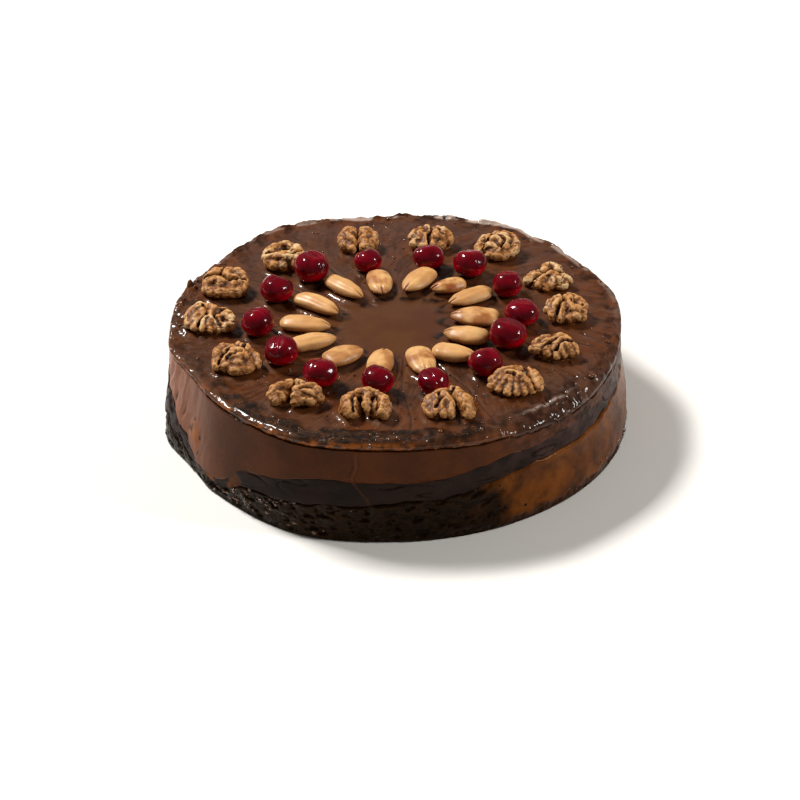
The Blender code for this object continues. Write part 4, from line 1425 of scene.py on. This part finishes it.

# %% [markdown]
# The glaze has the most to say: a brown field with brushed smears and strokes, a calm disc in the middle,
# a painted mauve sheen at the back and on the right shoulder, and over that the amber, gel, painted sheen
# along the back rim, painted glints on the front edge, marks and painted shade in the hollows, all painted on
# its points.

# %% Material of the poured glaze
def poured_glaze():
    """Milk chocolate glaze under clear amber jelly. It looks wet and deep, with sharp glints on its rim."""
    material, tree, shader = new_material(
        "jelly_glazed_chocolate", Roughness=0.45, IOR=1.4, Specular_IOR_Level=0.12,
        Specular_Tint=srgb("e8c8a0"), Coat_Weight=0.6, Coat_Roughness=0.05, Coat_IOR=1.36
    )
    cloud = clouds(tree, 24 * MM, 6.0)
    mottle = clouds(tree, 5 * MM, 5.0)
    smear = painted(tree, "smear")
    disc = painted(tree, "disc")
    field = layered(
        tree, srgb("572d14"),
        (between(tree, cloud, 0.36, 0.64), "4c2f20"),
        (times(tree, between(tree, smear, 0.0, 0.4), 0.6), "361a0b"),
        (times(tree, between(tree, mottle, 0.52, 0.64), 0.5), "26140a"),
        (times(tree, between(tree, painted(tree, "stroke"), 0.1, 0.6), 0.35), "5e3f2e"),
    )
    middle = over(tree, between(tree, cloud, 0.4, 0.6), srgb("513018"), srgb("4a2918"))
    dark = times(tree, between(tree, smear, -0.35, 0.35), between(tree, mottle, 0.38, 0.56))
    dark = times(tree, dark, painted(tree, "rough"))
    islands = straight(tree, mottle, 0.36, 0.58, 0.45, 1.0)
    colour = layered(
        tree, over(tree, disc, field, middle),
        # Painted mauve reflection
        (times(tree, painted(tree, "mauve_sheen"), 0.5), "4a3129"),
        (times(tree, dark, 0.85), "281208"),
        (times(tree, painted(tree, "amber"), 0.85), "582c0e"),
        (times(tree, painted(tree, "gel"), islands), "150b05"),
        # Painted light: bright amber glints on the front edge
        (painted(tree, "edge"), "965015"),
        # Painted sheen and highlight: the pale strips of the back rim and the streak at the right front
        (times(tree, painted(tree, "film_and_sheen"), 0.9), "b8a294"),
        (painted(tree, "mark"), "2a180f"),
        # Painted shade in the hollows
        (between(tree, painted(tree, "pit_shade"), 0.6, 1.0), "150c07"),
    )
    # The middle was poured smooth
    calm = straight(tree, disc, 0.0, 1.0, 0.3, 0.04)
    film_and_sheen = emboss(tree, clouds(tree, 4 * MM, 4.0), calm, 0.45 * MM)
    plug(shader, Base_Color=colour, Normal=emboss(tree, mottle, 0.3, 0.4 * MM), Coat_Normal=film_and_sheen)
    return material


dress(poured_glaze(), glaze)

# %% [markdown]
# ## Crumbs, bubbles and flecks
# Crumbs of the dark cake stick in the jelly, bubbles stand along the rim and the right foot, drops hang in
# the cracks at the front left, and amber flecks lie over the top. Each is one small ball with a few dozen
# faces, copied with its own size and turn, and all copies of a kind make one piece.

# %% Scatter crumbs and bubbles
def scatter(name, places, sizes, seed, lumpy):
    """Copies of one small ball, each turned, stretched and set at its place."""
    bpy.ops.object.select_all(action="DESELECT")
    bpy.ops.mesh.primitive_uv_sphere_add(segments=8, ring_count=5, radius=1)
    model = bpy.context.object
    shape = points_of(model)
    # The operator numbers its faces differently on every run, so they are sorted
    faces = sorted(tuple(face.vertices) for face in model.data.polygons)
    bpy.data.objects.remove(model)
    draw = np.random.default_rng(seed)
    all_points, all_faces = [], []
    for count, (place, size) in enumerate(zip(places, sizes)):
        stretch = draw.uniform(1 - lumpy, 1 + lumpy, 3)
        lumps = 1 + lumpy * draw.uniform(-0.6, 0.6, (len(shape), 1))
        turn = Matrix.Rotation(draw.uniform(0, 6.28), 3, Vector(draw.normal(size=3)))
        all_points.append((shape * lumps * stretch) @ np.array(turn).T * size * MM + np.array(place))
        all_faces += [tuple(corner + count * len(shape) for corner in face) for face in faces]
    mesh = bpy.data.meshes.new(name)
    mesh.from_pydata(np.concatenate(all_points).tolist(), [], all_faces)
    piece = bpy.data.objects.new(name, mesh)
    bpy.context.scene.collection.objects.link(piece)
    mesh.shade_smooth()
    return piece


def spots_on(piece, count, chance, seed):
    """Points of a piece picked by a chance for each point."""
    points = points_of(piece)
    angles, radii, heights = polar(points)
    weight = chance(angles, radii, heights)
    draw = np.random.default_rng(seed)
    picked = draw.choice(len(points), size=count, replace=False, p=weight / weight.sum())
    return points[picked]


def small_sizes(count, smallest, largest, seed):
    """Sizes in mm, most of them small."""
    return smallest + (largest - smallest) * np.random.default_rng(seed).uniform(0, 1, count) ** 2.2


# %% [markdown]
# Where a thing lands is a matter of chance, and the chance differs from place to place. Each kind has a
# function that gives the chance of every point of a layer, and a seeded draw picks the points.

# %% Chances of each kind
def on_rim(angles, radii, heights):
    """Bubbles stand along the rim, most at the front and the right."""
    inset = rim_radius(angles) - radii
    sides = ((1.0, -105, 40), (0.8, -5, 25), (0.4, 170, 25))
    front = sum(share * near_angle(angles, middle, width) for share, middle, width in sides)
    return bell(inset - 7, 4.5) * (heights > 50) * (0.1 + front) * radii / 120


def on_right_foot(angles, radii, heights):
    """Bubbles in the jelly that pooled along the right foot."""
    return (radii > 120) * (heights > 2) * (heights < 9) * near_angle(angles, -18, 16)


def on_foot(angles, radii, heights):
    """Crumbs stick to the side of the base."""
    return (radii > 120) * (heights > 1.5) * (heights < 30) * (1.05 - near_angle(angles, -15, 30))


def on_crack(angles, radii, heights):
    """Drops of jelly hang in the cracks of the crumb at the front left."""
    return (radii > 120) * (heights > 2) * (heights < 24) * near_angle(angles, -128, 18) ** 2


def on_glaze(angles, radii, heights):
    """Amber flecks lie over the top, a little denser further out."""
    return (heights > 57) * (radii > 38) * (radii < 116) * radii / 120


# How many there are of each kind
RIM_BUBBLES, FOOT_BUBBLES, CRACK_DROPS = 170, 60, 110
CRUMBS = 240
FLECKS = 420
# What hangs on the side is set this much nearer the axis, so that it stays inside the solids' box
DROP_SHARE = (0.997, 0.997, 1)
CRUMB_SHARE = (0.993, 0.993, 1)

foot_places = spots_on(base, FOOT_BUBBLES, on_right_foot, 57)
crack_places = spots_on(base, CRACK_DROPS, on_crack, 61)
drop_places = np.concatenate((foot_places, crack_places)) * DROP_SHARE
bubble_places = np.concatenate((spots_on(glaze, RIM_BUBBLES, on_rim, 51), drop_places))
bubbles = scatter("jelly_bubbles", bubble_places, small_sizes(len(bubble_places), 0.3, 1.3, 52), 53, 0.25)
crumb_places = spots_on(base, CRUMBS, on_foot, 54) * CRUMB_SHARE
crumbs = scatter("cake_crumbs", crumb_places, small_sizes(CRUMBS, 0.35, 1.3, 55), 56, 0.35)
fleck_places = spots_on(glaze, FLECKS, on_glaze, 58)
flecks = scatter("amber_flecks", fleck_places, small_sizes(FLECKS, 0.25, 0.8, 59), 60, 0.4)
count_faces("bubbles, crumbs and flecks", bubbles, crumbs, flecks)

# %% [markdown]
# The jelly of bubbles and flecks is wet and amber. It is darker here than in the jar, so that small drops
# don't look like beads. Crumbs are the same cake as the base, so they wear its material, with an even painted
# shade of depth and no jelly.

# %% Materials of the small things
amber_jelly = new_material(
    "amber_jelly", Base_Color=srgb("5c300c"), Roughness=0.1, IOR=1.4, Coat_Weight=1.0, Coat_Roughness=0.03,
    Coat_IOR=1.4
)[0]
dress(amber_jelly, bubbles, flecks)
dress(base.data.materials[0], crumbs)
# An even painted shade for the crumbs
paint(crumbs, "pit_shade", np.full(len(crumbs.data.vertices), 0.35))
paint(crumbs, "buried", np.zeros(len(crumbs.data.vertices)))
ride_root(bubbles, "top_glaze")
ride_root(crumbs, "base_cake")
ride_root(flecks, "top_glaze")

# %% [markdown]
# ## Floor, light and camera
# The cake stands on a plain pale floor, as in a small studio. The floor is far larger than the cake, so that
# its edge is never seen.

# %% Floor
FLOOR_SIZE = 6.0
bpy.ops.object.select_all(action="DESELECT")
bpy.ops.mesh.primitive_plane_add(size=FLOOR_SIZE)
floor = bpy.context.object
floor.name = "pale_floor"
pale_paper = new_material("pale_paper", Base_Color=srgb("eeeae3"), Roughness=0.9, Specular_IOR_Level=0.2)[0]
dress(pale_paper, floor)

# %% [markdown]
# Three soft panels light the cake: a strong one high at the back left draws the long highlights on the rim, a
# weaker one at the right opens that side, and a wide faint one behind edges the back rim. An even world fills
# the shadows.

# %% Light
WORLD_STRENGTH = 0.17
world = bpy.data.worlds.new("even_studio")
world.use_nodes = True
sky = world.node_tree.nodes["Background"]
sky.inputs["Color"].default_value = srgb("f7f4ef")
sky.inputs["Strength"].default_value = WORLD_STRENGTH
bpy.context.scene.world = world


def panel(name, direction, distance, size, power):
    """A soft rectangular light that faces the cake."""
    light = bpy.data.lights.new(name, "AREA")
    light.shape = "RECTANGLE"
    light.size, light.size_y = size
    light.energy = power
    lamp = bpy.data.objects.new(name, light)
    bpy.context.scene.collection.objects.link(lamp)
    lamp.location = Vector(direction).normalized() * distance
    lamp.rotation_euler = (-lamp.location).to_track_quat("-Z", "Y").to_euler()
    print("light:", name, "watts:", power)


panel("back_left_panel", (-0.50, 0.35, 0.80), 2.2, (0.6, 0.4), 66)
panel("right_panel", (0.80, -0.15, 0.55), 2.2, (0.4, 0.5), 26)
panel("back_panel", (0.0, 1.0, 0.52), 2.6, (2.4, 0.35), 0.5)
bpy.context.scene.view_settings.view_transform = "Standard"

# %% [markdown]
# The camera stands where the photo was taken from. Its height, distance, tilt and lens were fitted to the
# outline of the cake, and it has no depth of field, so that every part stays sharp.

# %% Camera
CAMERA_PLACE = (0.0025, -1.2307, 0.7964)
CAMERA_TILT = 57.33
LENS = 117
camera_data = bpy.data.cameras.new("photo_view")
camera_data.sensor_width = 36
camera_data.lens = LENS
camera = bpy.data.objects.new("photo_view", camera_data)
bpy.context.scene.collection.objects.link(camera)
camera.location = CAMERA_PLACE
camera.rotation_euler = (math.radians(CAMERA_TILT), 0, 0)
bpy.context.scene.camera = camera
print("camera at", CAMERA_PLACE, "lens in mm:", LENS)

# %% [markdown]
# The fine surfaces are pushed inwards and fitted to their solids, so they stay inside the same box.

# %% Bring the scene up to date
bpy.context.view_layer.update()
